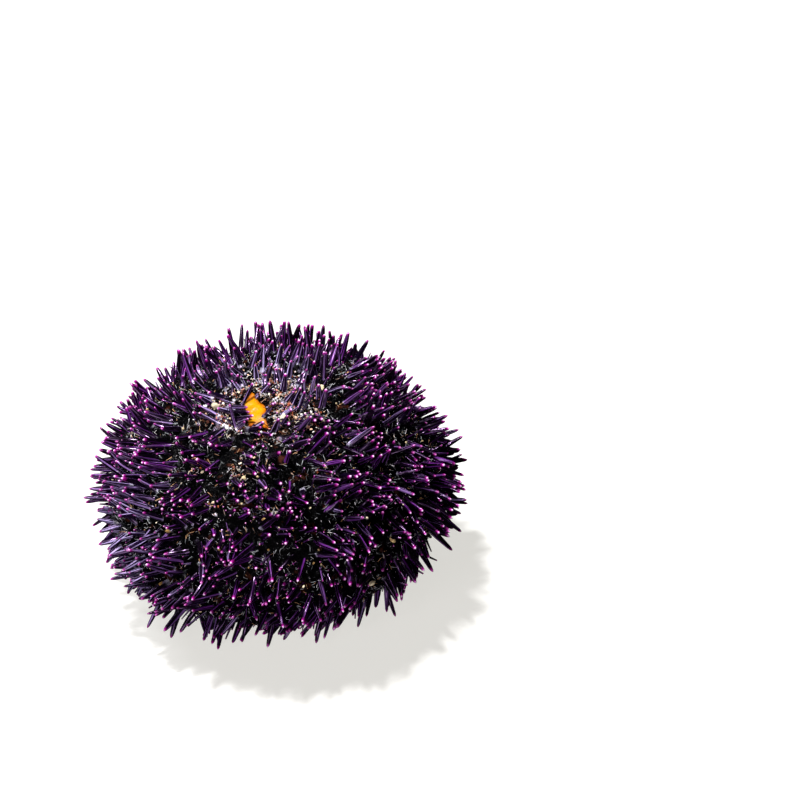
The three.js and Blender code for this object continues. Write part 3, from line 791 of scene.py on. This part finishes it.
def makeSkin():
    # rings from the pit's floor over the opening's rim, the crown, the widest level and the belly to the
    # mouth; each point is moved along its normal by the mat's rise, round grains and smooth lumps
    plan = skinPlan
    angle = 2 * math.pi * np.arange(plan["around"]) / plan["around"]
    direction = np.stack([np.cos(angle), np.sin(angle)], axis=-1)
    rim = opening["middle"] + openingRadius(angle)[:, None] * direction
    girth = shellPoint(np.zeros_like(angle), angle)

    def onCrown(flat):
        # straight up from a flat place to the ellipsoid over the widest level's outline
        reach = np.linalg.norm(flat, axis=-1) / np.linalg.norm(girth[:, :2], axis=-1)
        rise = shell["crownRise"] * np.sqrt(np.clip(1 - reach ** 2, 0, 1))
        return np.concatenate([flat, rise[..., None]], axis=-1)

    inward = np.linspace(1, 0, plan["pitRings"], endpoint=False)[:, None]
    pit = onCrown(rim[None] + (opening["middle"] - rim)[None] * (plan["pitNarrowing"] * inward[..., None]))
    pit[..., 2] -= plan["pitDepth"] * inward
    outward = np.sin(np.linspace(0, math.pi / 2, plan["crownRings"]))[:, None, None]
    crown = onCrown(rim[None] * (1 - outward) + girth[None, :, :2] * outward)
    latitude = -np.linspace(0, plan["lipLatitude"], plan["bellyRings"] + 1)[1:, None]
    belly = shellPoint(latitude + 0 * angle, angle + 0 * latitude)
    share = np.linspace(1, 0.02, plan["lipRings"])[:, None, None] * 0.98
    lips = belly[-1] * [1, 1, 0] * share
    reach = np.linalg.norm(lips[..., :2], axis=-1)
    dip = smoothstep(-reach, -mouth["radius"] - 0.6, -mouth["radius"] + 2)
    lips[..., 2] = belly[-1, 0, 2] + mouth["depth"] * dip
    folds = plan["foldHeight"] * np.cos(plan["foldCount"] * angle)
    lips[..., 2] += folds * smoothstep(reach, 1, 6) * smoothstep(-reach, -10, -8)
    base = np.concatenate([pit, crown, belly, lips])
    normal = unit(np.cross(np.gradient(base, axis=0), np.roll(base, -1, 1) - np.roll(base, 1, 1)))
    relief = plan["grainHeight"] * (1 - 1.2 * grains(base, plan["grainSize"], 5) ** 2)
    fine = 1 - grains(base, plan["grainSize"] * plan["fineGrain"], 7) ** 2
    relief += plan["fineShare"] * plan["grainHeight"] * fine
    relief += plan["lumpHeight"] * clouds(base, plan["lumpSize"], 9)
    fromAxis = np.linalg.norm(base[..., :2], axis=-1)
    isUpper = base[..., 2] >= 0
    toRim = np.linalg.norm(base[..., :2] - rim, axis=-1)
    calm = np.where(isUpper, smoothstep(toRim, -0.5, 1.5), smoothstep(fromAxis, 2.0, 10.0))
    surface = base + normal * (relief * calm + matRise(base))[..., None]
    points = np.concatenate([surface.reshape(-1, 3), surface[:1].mean(1), surface[-1:].mean(1)])
    fromApex = np.linalg.norm(points - [0, 0, shell["crownRise"]], axis=-1)
    far, near = plan["tissueReach"]
    crownNear = smoothstep(-fromApex, -far, -near)
    far, near = plan["membraneReach"]
    onAxis = smoothstep(-np.linalg.norm(points[:, :2], axis=-1), -far, -near)
    membrane = np.where(points[:, 2] < 0, onAxis, 0)
    quads, fans = ringFaces(1, len(base), plan["around"])
    looks = {"crown": crownNear[:, None], "membrane": membrane[:, None]}
    piece = makePiece("skin", points, [quads[:, ::-1], fans[:, ::-1]], paintSkin(), looks)
    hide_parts("urchin")


makeSkin()


def growStrands(name, foot, aim, length, radius, curl, material, seed, rings=6, sides=4):
    # a strand: a straight path bent by a sine to each side, its radius falling by a third to a blunt end
    rng = np.random.default_rng(seed)
    count = len(foot)
    share = np.linspace(0, 1, rings)
    side = unit(np.cross(aim, rng.normal(size=(count, 3))))
    other = np.cross(aim, side)
    path = foot[:, None] + aim[:, None] * (length[:, None] * share)[..., None]
    for across in (side, other):
        turns = rng.uniform(0.5, 1.3, count)[:, None]
        phase = rng.uniform(0, 2 * math.pi, count)[:, None]
        bend = np.sin(2 * math.pi * turns * share + phase) - np.sin(phase)
        path += across[:, None] * (bend * curl * length[:, None])[..., None]
    radii = radius[:, None] * (1 - 0.35 * share)
    points, faces, _ = tubes(path, radii, sides, rng.uniform(0, 6, count))
    along = perPoint(np.broadcast_to(share, (count, rings)), rings, sides)
    looks = {"along": along, "tone": perPoint(rng.uniform(0, 1, count), rings, sides)}
    piece = makePiece(name, points, faces, material, looks)
    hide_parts("urchin")


strandPlan = {
    "jitter": 0.9,
    "bareFrom": -0.3,  # bareness from which every place has a strand
    "fadeBand": (-0.8, 0.3),  # latitudes between which they set in, upwards
    "upright": 0.7,  # pull along the normal
    "leastRise": 0.1, "sunk": 0.1,
    "bundleTurn": 7,  # radians between the clouds' middle and their extremes
}
tubeFeetPlan = {
    "places": 9000, "channel": 401, "most": 3200,
    "everywhere": 0.6,  # share of the places that get one outside the bare spots
    "length": (0.9, 2.4), "radius": (0.09, 0.17), "lean": 0.8, "curl": 0.22, "rings": 6, "sides": 4,
}
filamentPlan = {
    "places": 20000, "channel": 421, "most": 3600,
    "everywhere": 0.45,
    "length": (0.5, 1.4), "radius": (0.05, 0.09), "lean": 1.5, "curl": 0.3, "rings": 4, "sides": 3,
}
hairPlan = {  # straight and side by side, in bundles
    "places": 52000, "channel": 441, "most": 13000,
    "everywhere": 0.5,
    "length": (0.8, 2.4), "radius": (0.05, 0.085), "lean": 0.3, "curl": 0.02, "rings": 2, "sides": 3,
    "bundle": 2.6,  # size of the places where they lie one way
    "flatness": 1.1,
}


def paintStrands(name, stops):
    # wet strands, most of them nearly black; the pale ones are painted glints, standing for highlights on the
    # wet mat
    paint = Paint(name, {"Roughness": 0.1, "IOR": 1.4, "Specular IOR Level": 0.3})
    colour = paint.ramp(paint.attribute("tone"), stops)
    paint.feed("Base Color", paint.mix(paint.attribute("along") * 0.06, colour, (0.11, 0.12, 0.13)))
    return paint.material


def makeStrands(name, plan, stops, seed):
    # strands on the mat, most in the bare spots and fewer downwards; each aims along the normal, turned by
    # chance, and with its neighbours where they lie in bundles
    rng = np.random.default_rng(seed)
    latitude, longitude = scatter(plan["places"], strandPlan["jitter"], plan["channel"])
    feet = shellPoint(latitude, longitude)
    density = np.where(bareness(feet) > strandPlan["bareFrom"], 1.0, plan["everywhere"])
    density = density * smoothstep(latitude, *strandPlan["fadeBand"])
    isKept = (rng.uniform(0, 1, len(feet)) < density) & ~insideOpening(feet, 0.3) & ~insideMouth(feet, 0)
    kept = rng.permutation(np.flatnonzero(isKept))[:plan["most"]]
    normal = shellNormal(latitude[kept], longitude[kept])
    aim = normal * strandPlan["upright"] + rng.normal(size=(len(kept), 3)) * plan["lean"]
    if "bundle" in plan:
        turn = strandPlan["bundleTurn"] * clouds(feet[kept], plan["bundle"], 43)
        east = eastAt(longitude[kept])
        flat = east * np.cos(turn)[:, None] + np.cross(normal, east) * np.sin(turn)[:, None]
        aim += plan["flatness"] * flat
    aim = unit(aim)
    aim += normal * np.maximum(0, strandPlan["leastRise"] - (aim * normal).sum(-1, keepdims=True))
    length = rng.uniform(*plan["length"], len(kept))
    radius = rng.uniform(*plan["radius"], len(kept))
    onMat = feet[kept] + normal * (matRise(feet[kept]) - strandPlan["sunk"])[:, None]
    paint = paintStrands(name, stops)
    growStrands(name, onMat, aim, length, radius, plan["curl"], paint, seed + 1, plan["rings"], plan["sides"])


# in each ramp the pale grey and white stops are painted glints
makeStrands("tube_feet", tubeFeetPlan, [
    (0.0, (0.0005, 0.0005, 0.0008)), (0.7, (0.002, 0.002, 0.003)), (0.85, (0.03, 0.034, 0.036)),
    (0.95, (0.15, 0.16, 0.16)), (1.0, (0.4, 0.4, 0.42)),
], 12)
makeStrands("filaments", filamentPlan, [
    (0.0, (0.001, 0.001, 0.0015)), (0.65, (0.002, 0.002, 0.003)), (0.72, (0.3, 0.3, 0.32)),
    (0.8, (0.85, 0.88, 0.88)), (1.0, (1.0, 0.98, 1.0)),
], 14)
makeStrands("hairs", hairPlan, [
    (0.0, (0.001, 0.001, 0.0015)), (0.5, (0.002, 0.001, 0.003)), (0.6, (0.3, 0.32, 0.35)),
    (0.7, (0.85, 0.92, 0.95)), (0.88, (1.0, 0.92, 1.0)), (0.92, (0.9, 0.5, 0.25)),
], 16)

crumbPatches = [  # middle seen from above, radius and share of the crumbs, most round the opening
    ((-11.5, -1.0), 3.4, 0.13), ((-7.5, 4.5), 2.6, 0.08), ((-1.0, 8.5), 4.0, 0.13), ((5.0, 7.0), 3.6, 0.12),
    ((4.6, 1.0), 2.6, 0.09), ((9.5, 0.5), 4.0, 0.13), ((6.0, -6.5), 3.6, 0.11), ((11.5, -7.5), 3.4, 0.08),
    ((-7.0, -7.5), 2.6, 0.05), ((1.5, -12.0), 3.0, 0.05), ((-4.5, 3.5), 1.8, 0.03), ((0.8, 2.2), 1.5, 0.07),
    ((3.5, -4.0), 1.8, 0.05), ((-15.2, -17.7), 2.6, 0.04), ((-4.9, -20.3), 3.0, 0.05),
    ((-11.8, -26.6), 2.2, 0.03), ((15.8, -19.8), 2.2, 0.02),
]
crumbPlan = {
    "crumbs": 1700, "size": (0.12, 0.36), "stretch": (0.3, 1.5), "unevenness": 0.4, "lift": (-0.1, 1.5),
    "curls": 800, "curlLength": (0.7, 1.9), "curlRadius": (0.05, 0.1), "curl": 0.28, "curlLift": 0.3,
    "patchSpread": 0.55,  # share of a patch's radius
    "openingMargin": 0.3,
}


def placeInPatches(count, rng):
    # flat places in round patches, thickest in their middles, clear of the opening, on the crown
    weights = np.array([share for _, _, share in crumbPatches])
    patch = rng.choice(len(crumbPatches), count * 2, p=weights / weights.sum())
    middles = np.array([middle for middle, _, _ in crumbPatches])[patch]
    radii = np.array([radius for _, radius, _ in crumbPatches])[patch]
    flat = middles + rng.normal(size=(count * 2, 2)) * radii[:, None] * crumbPlan["patchSpread"]
    points = np.concatenate([flat, crownLevel(flat)[:, None]], axis=-1)
    points[:, 2] += matRise(points)
    return points[~insideOpening(points, crumbPlan["openingMargin"])][:count]


def icosahedron(splits):
    # the twelve corners of three golden rectangles; each split halves the edges and pushes the points out
    golden = (1 + math.sqrt(5)) / 2
    corners = []
    for one in (-1, 1):
        for two in (-golden, golden):
            corners += [(0, one, two), (one, two, 0), (two, 0, one)]
    points = unit(np.array(corners, float))
    edge = np.linalg.norm(points[:, None] - points[None], axis=-1)
    near = edge < edge[edge > 0.1].min() * 1.1
    faces = [
        (a, b, c) for a in range(12) for b in range(a + 1, 12) for c in range(b + 1, 12)
        if near[a, b] and near[b, c] and near[a, c]
    ]
    faces = np.array([
        face if np.linalg.det(points[list(face)]) > 0 else face[::-1] for face in faces
    ])
    for _ in range(splits):
        middles = unit((points[faces] + points[np.roll(faces, -1, axis=1)]) / 2)
        whole = np.round(middles.reshape(-1, 3), 6)
        unique, index = np.unique(whole, axis=0, return_inverse=True)
        index = index.reshape(-1, 3) + len(points)
        a, b, c = faces.T
        ab, bc, ca = index.T
        points = np.concatenate([points, unit(unique)])
        faces = np.concatenate([
            np.stack(trio, axis=-1) for trio in ((a, ab, ca), (b, bc, ab), (c, ca, bc), (ab, bc, ca))
        ])
    return points, faces


def makeLumps(name, middles, sizes, splits, roughness, material, seed):
    # uneven pebbles: a split icosahedron, pushed in and out by chance, stretched, turned and set in its place
    rng = np.random.default_rng(seed)
    ball, faces = icosahedron(splits)
    count = len(middles)
    turns, _ = np.linalg.qr(rng.normal(size=(count, 3, 3)))
    turns *= np.sign(np.linalg.det(turns))[:, None, None]
    uneven = 1 + rng.uniform(-roughness, roughness, (count, len(ball), 1))
    points = np.einsum("nij,npj->npi", turns, ball[None] * uneven * sizes[:, None]) + middles[:, None]
    allFaces = faces[None] + (np.arange(count) * len(ball))[:, None, None]
    tone = np.repeat(rng.uniform(0, 1, count), len(ball))
    piece = makePiece(name, points, [allFaces], material, {"tone": tone[:, None]}, smooth=False)
    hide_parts("urchin")


def paintCrumbs():
    # dried tissue: brown, rust, tan, pink, cream and a few lilac-white crumbs
    paint = Paint("tissue crumbs", {"IOR": 1.45, "Roughness": 0.5, "Specular IOR Level": 0.15})
    colour = paint.ramp(paint.attribute("tone"), [
        (0.0, (0.001, 0.001, 0.001)), (0.52, (0.004, 0.001, 0.002)), (0.58, (0.5, 0.12, 0.04)),
        (0.67, (0.95, 0.42, 0.34)), (0.76, (1.0, 0.8, 0.5)), (0.84, (1.0, 0.97, 0.9)),
        (1.0, (0.93, 0.88, 1.0)),
    ])
    speck = paint.noise(paint.place(), 3000.0, 2.0, 0.5)
    paint.feed("Base Color", paint.mix(((speck - 0.5) * 3).clamped() * 0.3, colour, (0.08, 0.03, 0.03)))
    return paint.material


def makeCrumbs():
    # flat and stretched crumbs at all heights up to the small spines' tips, and curls between them
    plan = crumbPlan
    rng = np.random.default_rng(21)
    paint = paintCrumbs()
    places = placeInPatches(plan["crumbs"], rng)
    size = rng.uniform(*plan["size"], len(places))
    sizes = size[:, None] * rng.uniform(*plan["stretch"], (len(places), 3))
    lifted = places + [0, 0, 1] * rng.uniform(*plan["lift"], len(places))[:, None]
    makeLumps("tissue_crumbs", lifted, sizes, 0, plan["unevenness"], paint, 22)
    places = placeInPatches(plan["curls"], rng)
    aim = unit(rng.normal(size=(len(places), 3)) + [0, 0, 0.5])
    length = rng.uniform(*plan["curlLength"], len(places))
    radius = rng.uniform(*plan["curlRadius"], len(places))
    feet = places + [0, 0, plan["curlLift"]]
    growStrands("tissue_curls", feet, aim, length, radius, plan["curl"], paint, 23)


makeCrumbs()

gritPlan = {  # the first fields are the solids' own rule for their grains
    "count": 14, "places": 126, "jitter": 0.5, "channel": 51, "size": 1.15, "sizeSpread": 0.25,
    "shape": (1.0, 0.75, 0.6), "sink": 0.22, "clearance": 0.2, "openingClearance": 2.0, "spineRadius": 1.05,
    "unevenness": 0.16,
    "handShape": (1.2, 0.75, 0.4),
    "handLift": 0.8,
    "specks": 150, "speckSize": (0.16, 0.42), "speckStretch": (0.6, 1.1), "speckLift": (0.2, 1.6),
    "speckUnevenness": 0.2,
    "speckFrom": -0.1,  # latitude over which they lie
}
gritByHand = [  # longitude and latitude in degrees, and half the length, of more chips of sand and shell
    (13, 69, 1.1), (-176, 74, 1.1), (17, 51, 0.8), (-52, 77, 0.9), (-99, 54, 0.7), (-89, 39, 0.6),
    (-129, 28, 0.7), (-107, 26, 0.6), (-129, 4, 0.8), (-115, -5, 0.6), (-43, 12, 0.9), (-55, -1, 0.8),
    (120, 58, 0.7), (84, 44, 0.8), (40, 28, 0.7), (150, 35, 0.8),
]


def gritByRule():
    # the grains that the solids have too: the first places of the upper side that are clear of large spines
    plan = gritPlan
    latitude, longitude = scatter(plan["places"], plan["jitter"], plan["channel"])
    isUpper = latitude > 0
    latitude, longitude = latitude[isUpper], longitude[isUpper]
    points, normals = shellPoint(latitude, longitude), shellNormal(latitude, longitude)
    size = plan["size"] * (1 + plan["sizeSpread"] * chance(np.arange(len(points)), plan["channel"] + 10))
    middles = points - normals * (size * plan["sink"])[:, None]
    foot, along = stand.foot[:largeEnd], stand.tip[:largeEnd] - stand.foot[:largeEnd]
    fromFoot = middles[:, None] - foot[None]
    share = np.clip((fromFoot * along).sum(-1) / (along ** 2).sum(-1), 0, 1)
    space = np.linalg.norm(fromFoot - share[..., None] * along, axis=-1).min(axis=1)
    isFree = space > size + plan["spineRadius"] + plan["clearance"]
    kept = np.flatnonzero(isFree & ~insideOpening(points, plan["openingClearance"]))[:plan["count"]]
    return middles[kept], size[kept]


def paintGrit():
    # chips of shell and sand, cream to golden brown, with darker specks
    paint = Paint("grit", {"IOR": 1.5, "Roughness": 0.42, "Coat Weight": 0.3, "Coat Roughness": 0.15})
    colour = paint.ramp(paint.attribute("tone"), [
        (0.0, (0.55, 0.28, 0.06)), (0.35, (0.85, 0.55, 0.2)), (0.7, (0.95, 0.8, 0.5)),
        (1.0, (1.0, 0.92, 0.72)),
    ])
    spot = paint.place()
    speck = paint.noise(spot, 1500.0, 4.0, 0.6)
    paint.feed("Base Color", paint.mix(((speck - 0.52) * 5).clamped() * 0.6, colour, (0.22, 0.09, 0.03)))
    paint.bump(paint.noise(spot, 2500.0, 3.0, 0.6), 0.5, 0.0002)
    return paint.material


def makeGrit():
    # the solids' grains, chips given one by one on the mat, and specks of sand scattered over the upper side
    plan = gritPlan
    rng = np.random.default_rng(31)
    paint = paintGrit()
    middles, size = gritByRule()
    more = np.radians([(longitude, latitude) for longitude, latitude, _ in gritByHand])
    normals = shellNormal(more[:, 1], more[:, 0])
    handSize = np.array([half for _, _, half in gritByHand])
    onShell = shellPoint(more[:, 1], more[:, 0])
    handMiddles = onShell + normals * (matRise(onShell) + handSize * 0.7 + plan["handLift"])[:, None]
    middles = np.concatenate([middles, handMiddles])
    sizes = np.concatenate([size[:, None] * plan["shape"], handSize[:, None] * plan["handShape"]])
    makeLumps("grit", middles, sizes, 1, plan["unevenness"], paint, 32)
    latitude, longitude = scatter(plan["specks"] * 2, 0.9, 451)
    kept = np.flatnonzero(latitude > plan["speckFrom"])[:plan["specks"]]
    normals = shellNormal(latitude[kept], longitude[kept])
    onShell = shellPoint(latitude[kept], longitude[kept])
    middles = onShell + normals * (matRise(onShell) + rng.uniform(*plan["speckLift"], len(kept)))[:, None]
    size = rng.uniform(*plan["speckSize"], len(kept))
    sizes = size[:, None] * rng.uniform(*plan["speckStretch"], (len(kept), 3))
    makeLumps("sand", middles, sizes, 0, plan["speckUnevenness"], paint, 33)


makeGrit()

toothPlan = {
    "count": 5, "length": 4.6, "width": 1.5, "rise": 1.4,
    "tipReach": 0.35,
    "rootReach": 1.6,  # beyond the tip's
    "bulge": 0.9, "rings": 9, "sides": 8,
}


def makeTeeth():
    # each tooth: a path that bulges outwards and comes in to the tip, its radius falling with a root
    plan = toothPlan
    share = np.linspace(0, 1, plan["rings"])
    level = mouth["depth"] - shell["bellyDrop"] + plan["rise"]
    reach = plan["tipReach"] + plan["rootReach"] * (1 - share) + plan["bulge"] * np.sin(share * math.pi)
    path = np.stack([reach, 0 * share, level - plan["length"] * share], axis=-1)
    angle = 2 * math.pi * np.arange(plan["count"]) / plan["count"]
    cosine, sine = np.cos(angle)[:, None], np.sin(angle)[:, None]
    x, y = path[None, :, 0] * cosine, path[None, :, 0] * sine
    paths = np.stack([x, y, np.broadcast_to(path[:, 2], x.shape)], axis=-1)
    radii = np.broadcast_to(plan["width"] * np.sqrt(1.02 - share), x.shape)
    points, faces, _ = tubes(paths, radii, plan["sides"], np.zeros(plan["count"]))
    paint = Paint("tooth", {"IOR": 1.55, "Roughness": 0.3})
    spot = paint.place()
    broad = paint.noise(spot, 500.0, 3.0, 0.6)
    paint.feed("Base Color", paint.ramp(broad, [(0.3, (0.5, 0.42, 0.3)), (0.7, (0.85, 0.82, 0.74))]))
    paint.bump(paint.noise(spot, 1800.0, 2.0, 0.5), 0.3, 0.0002)
    piece = makePiece("teeth", points, faces, paint.material)
    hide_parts("urchin")


makeTeeth()

roePlan = {
    "around": 240, "rings": 70,
    "fill": 0.25,  # how far it fills the gap to the star's edge
    "edgeDrop": 0.5, "dome": 0.3, "lump": 0.1, "grain": 0.5, "grainHeight": 0.05,
    "peachAt": [1.7, -3.6], "peachReach": (2.4, 0.8),
}


def paintRoe():
    # yellow-orange and finely grained, deep orange at the edges and peach at the lower right
    paint = Paint("roe", {
        "Roughness": 0.35, "Specular IOR Level": 0.1, "Coat Weight": 0.2, "Coat Roughness": 0.03,
        "Subsurface Weight": 0.2, "Subsurface Scale": 0.001, "Subsurface Radius": (1.0, 0.4, 0.08),
    })
    spot = paint.place()
    broad = paint.noise(spot, 420.0, 3.0, 0.5)
    colour = paint.ramp(broad, [
        (0.3, (0.58, 0.2, 0.001)), (0.5, (0.62, 0.28, 0.001)), (0.7, (0.64, 0.32, 0.003)),
    ])
    colour = paint.mix((paint.attribute("peach") * 0.8).clamped(), colour, (0.58, 0.3, 0.1))
    colour = paint.mix((paint.attribute("edge") * 2.4 - 1.4).clamped(), colour, (0.42, 0.09, 0.001))
    paint.feed("Base Color", colour)
    paint.bump(paint.cells(spot, 2600.0, "Distance"), 0.2, 0.0002)
    return paint.material


def makeRoe():
    # a low dome over the star: its height falls with the square of the way to the edge, plus crossing sines
    # for its lumps, and round grains
    plan = roePlan
    angle = 2 * math.pi * np.arange(plan["around"]) / plan["around"]
    share = np.concatenate([[1.0], np.linspace(1, 0.02, plan["rings"])])[:, None]
    reach = share * (openingRadius(angle) - opening["roeGap"] + plan["fill"])
    x = opening["middle"][0] + reach * np.cos(angle)
    y = opening["middle"][1] + reach * np.sin(angle)
    lumps = np.sin(x * 1.9 + 0.7) * np.sin(y * 1.5) + np.sin(x * 0.9 - y * 2.3)
    z = shell["crownRise"] - plan["edgeDrop"] + plan["dome"] * (1 - share ** 2) + plan["lump"] * lumps
    top = np.stack([x, y, z], axis=-1)
    top[..., 2] += plan["grainHeight"] * (1 - 1.4 * grains(top, plan["grain"], 21) ** 2)
    top[0, :, 2] = shell["crownRise"] - opening["roeFoot"]
    points = np.concatenate([top.reshape(-1, 3), top[:1].mean(1), top[-1:].mean(1)])
    edge = np.append(np.broadcast_to(share, x.shape).ravel(), [1.0, 0.0])
    fromPeach = np.linalg.norm(points[:, :2] - opening["middle"] - plan["peachAt"], axis=-1)
    far, near = plan["peachReach"]
    quads, fans = ringFaces(1, len(share), plan["around"])
    looks = {"edge": edge[:, None], "peach": smoothstep(-fromPeach, -far, -near)[:, None]}
    piece = makePiece("roe_flesh", points, [quads, fans], paintRoe(), looks)
    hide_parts("roe")


makeRoe()

cameraPlan = {
    "elevation": math.radians(40),
    "lens": 150,
    "sensor": 36,
    "distance": 0.8,
    "target": np.array([0, 0, 0.024]),
    "targetPixel": (274.9, 484.5),
    "frame": 800,
}


def makeCamera():
    # the target is seen at its pixel, and the axis of the lens through the middle of the frame
    plan = cameraPlan
    rise = plan["elevation"]
    focal = plan["lens"] / plan["sensor"] * plan["frame"]
    ahead = np.array([0, math.cos(rise), -math.sin(rise)])
    right = np.array([1.0, 0, 0])
    up = np.cross(right, ahead)
    aside = (plan["targetPixel"][0] - plan["frame"] / 2) / focal
    above = (plan["frame"] / 2 - plan["targetPixel"][1]) / focal
    data = bpy.data.cameras.new("camera")
    data.lens = plan["lens"]
    data.sensor_width = plan["sensor"]
    camera = bpy.data.objects.new("camera", data)
    camera.location = plan["target"] - (right * aside + up * above + ahead) * plan["distance"]
    camera.rotation_euler = (math.pi / 2 - rise, 0, 0)
    bpy.context.scene.collection.objects.link(camera)
    bpy.context.scene.camera = camera


tablePlan = {
    "half": 4.0,
    "finish": {
        "Base Color": (0.4, 0.4, 0.4, 1), "Roughness": 0.8, "Specular IOR Level": 0.1,
        "Emission Color": (1, 0.985, 0.93, 1), "Emission Strength": 0.66,
    },
}
lights = {  # where each light is, its size, power and colour; all aim at the camera's target
    "key": ((-0.25, 0.17, 1.1), 0.13, 21, (1, 0.99, 0.97)),
    "softbox": ((-0.6, 0.35, 0.8), 0.4, 4.5, (0.97, 0.97, 1)),
    "fill": ((-0.45, -0.75, 0.6), 0.3, 1.6, (1, 0.96, 1)),
    "bounce": ((-0.2, -0.85, 0.12), 0.4, 3.0, (1, 0.95, 1)),
}
roomLight = 0.015


def makeTable():
    # a pale plate that glows a little; the pieces neither mirror it nor are lit by it
    mesh = bpy.data.meshes.new("table")
    half = tablePlan["half"]
    corners = [(-half, -half, 0), (half, -half, 0), (half, half, 0), (-half, half, 0)]
    mesh.from_pydata(corners, [], [(0, 1, 2, 3)])
    paint = Paint("table", tablePlan["finish"])
    mesh.materials.append(paint.material)
    table = bpy.data.objects.new("table", mesh)
    bpy.context.scene.collection.objects.link(table)
    table.visible_diffuse = False
    table.visible_glossy = False
    table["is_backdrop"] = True


def makeLight(name, location, size, power, colour):
    # a round area light, turned so that its axis meets the target
    data = bpy.data.lights.new(name, "AREA")
    data.shape = "DISK"
    data.energy = power
    data.size = size
    data.color = colour
    light = bpy.data.objects.new(name, data)
    light.location = location
    ahead = cameraPlan["target"] - np.array(location)
    turn = math.atan2(ahead[1], ahead[0]) - math.pi / 2
    light.rotation_euler = (math.atan2(math.hypot(ahead[0], ahead[1]), -ahead[2]), 0, turn)
    bpy.context.scene.collection.objects.link(light)


def makeRoom():
    world = bpy.data.worlds.new("room")
    world.use_nodes = True
    background = world.node_tree.nodes["Background"]
    background.inputs["Color"].default_value = (1, 1, 1, 1)
    background.inputs["Strength"].default_value = roomLight
    bpy.context.scene.world = world


makeCamera()
makeTable()
for name, settings in lights.items():
    makeLight(name, *settings)
makeRoom()
bpy.context.scene.view_settings.view_transform = "Standard"
print("scene done")

boxes = {"cad": cadBox, "visual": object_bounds()}
boxes = {name: [[float(value) for value in corner] for corner in box] for name, box in boxes.items()}
print(boxes)
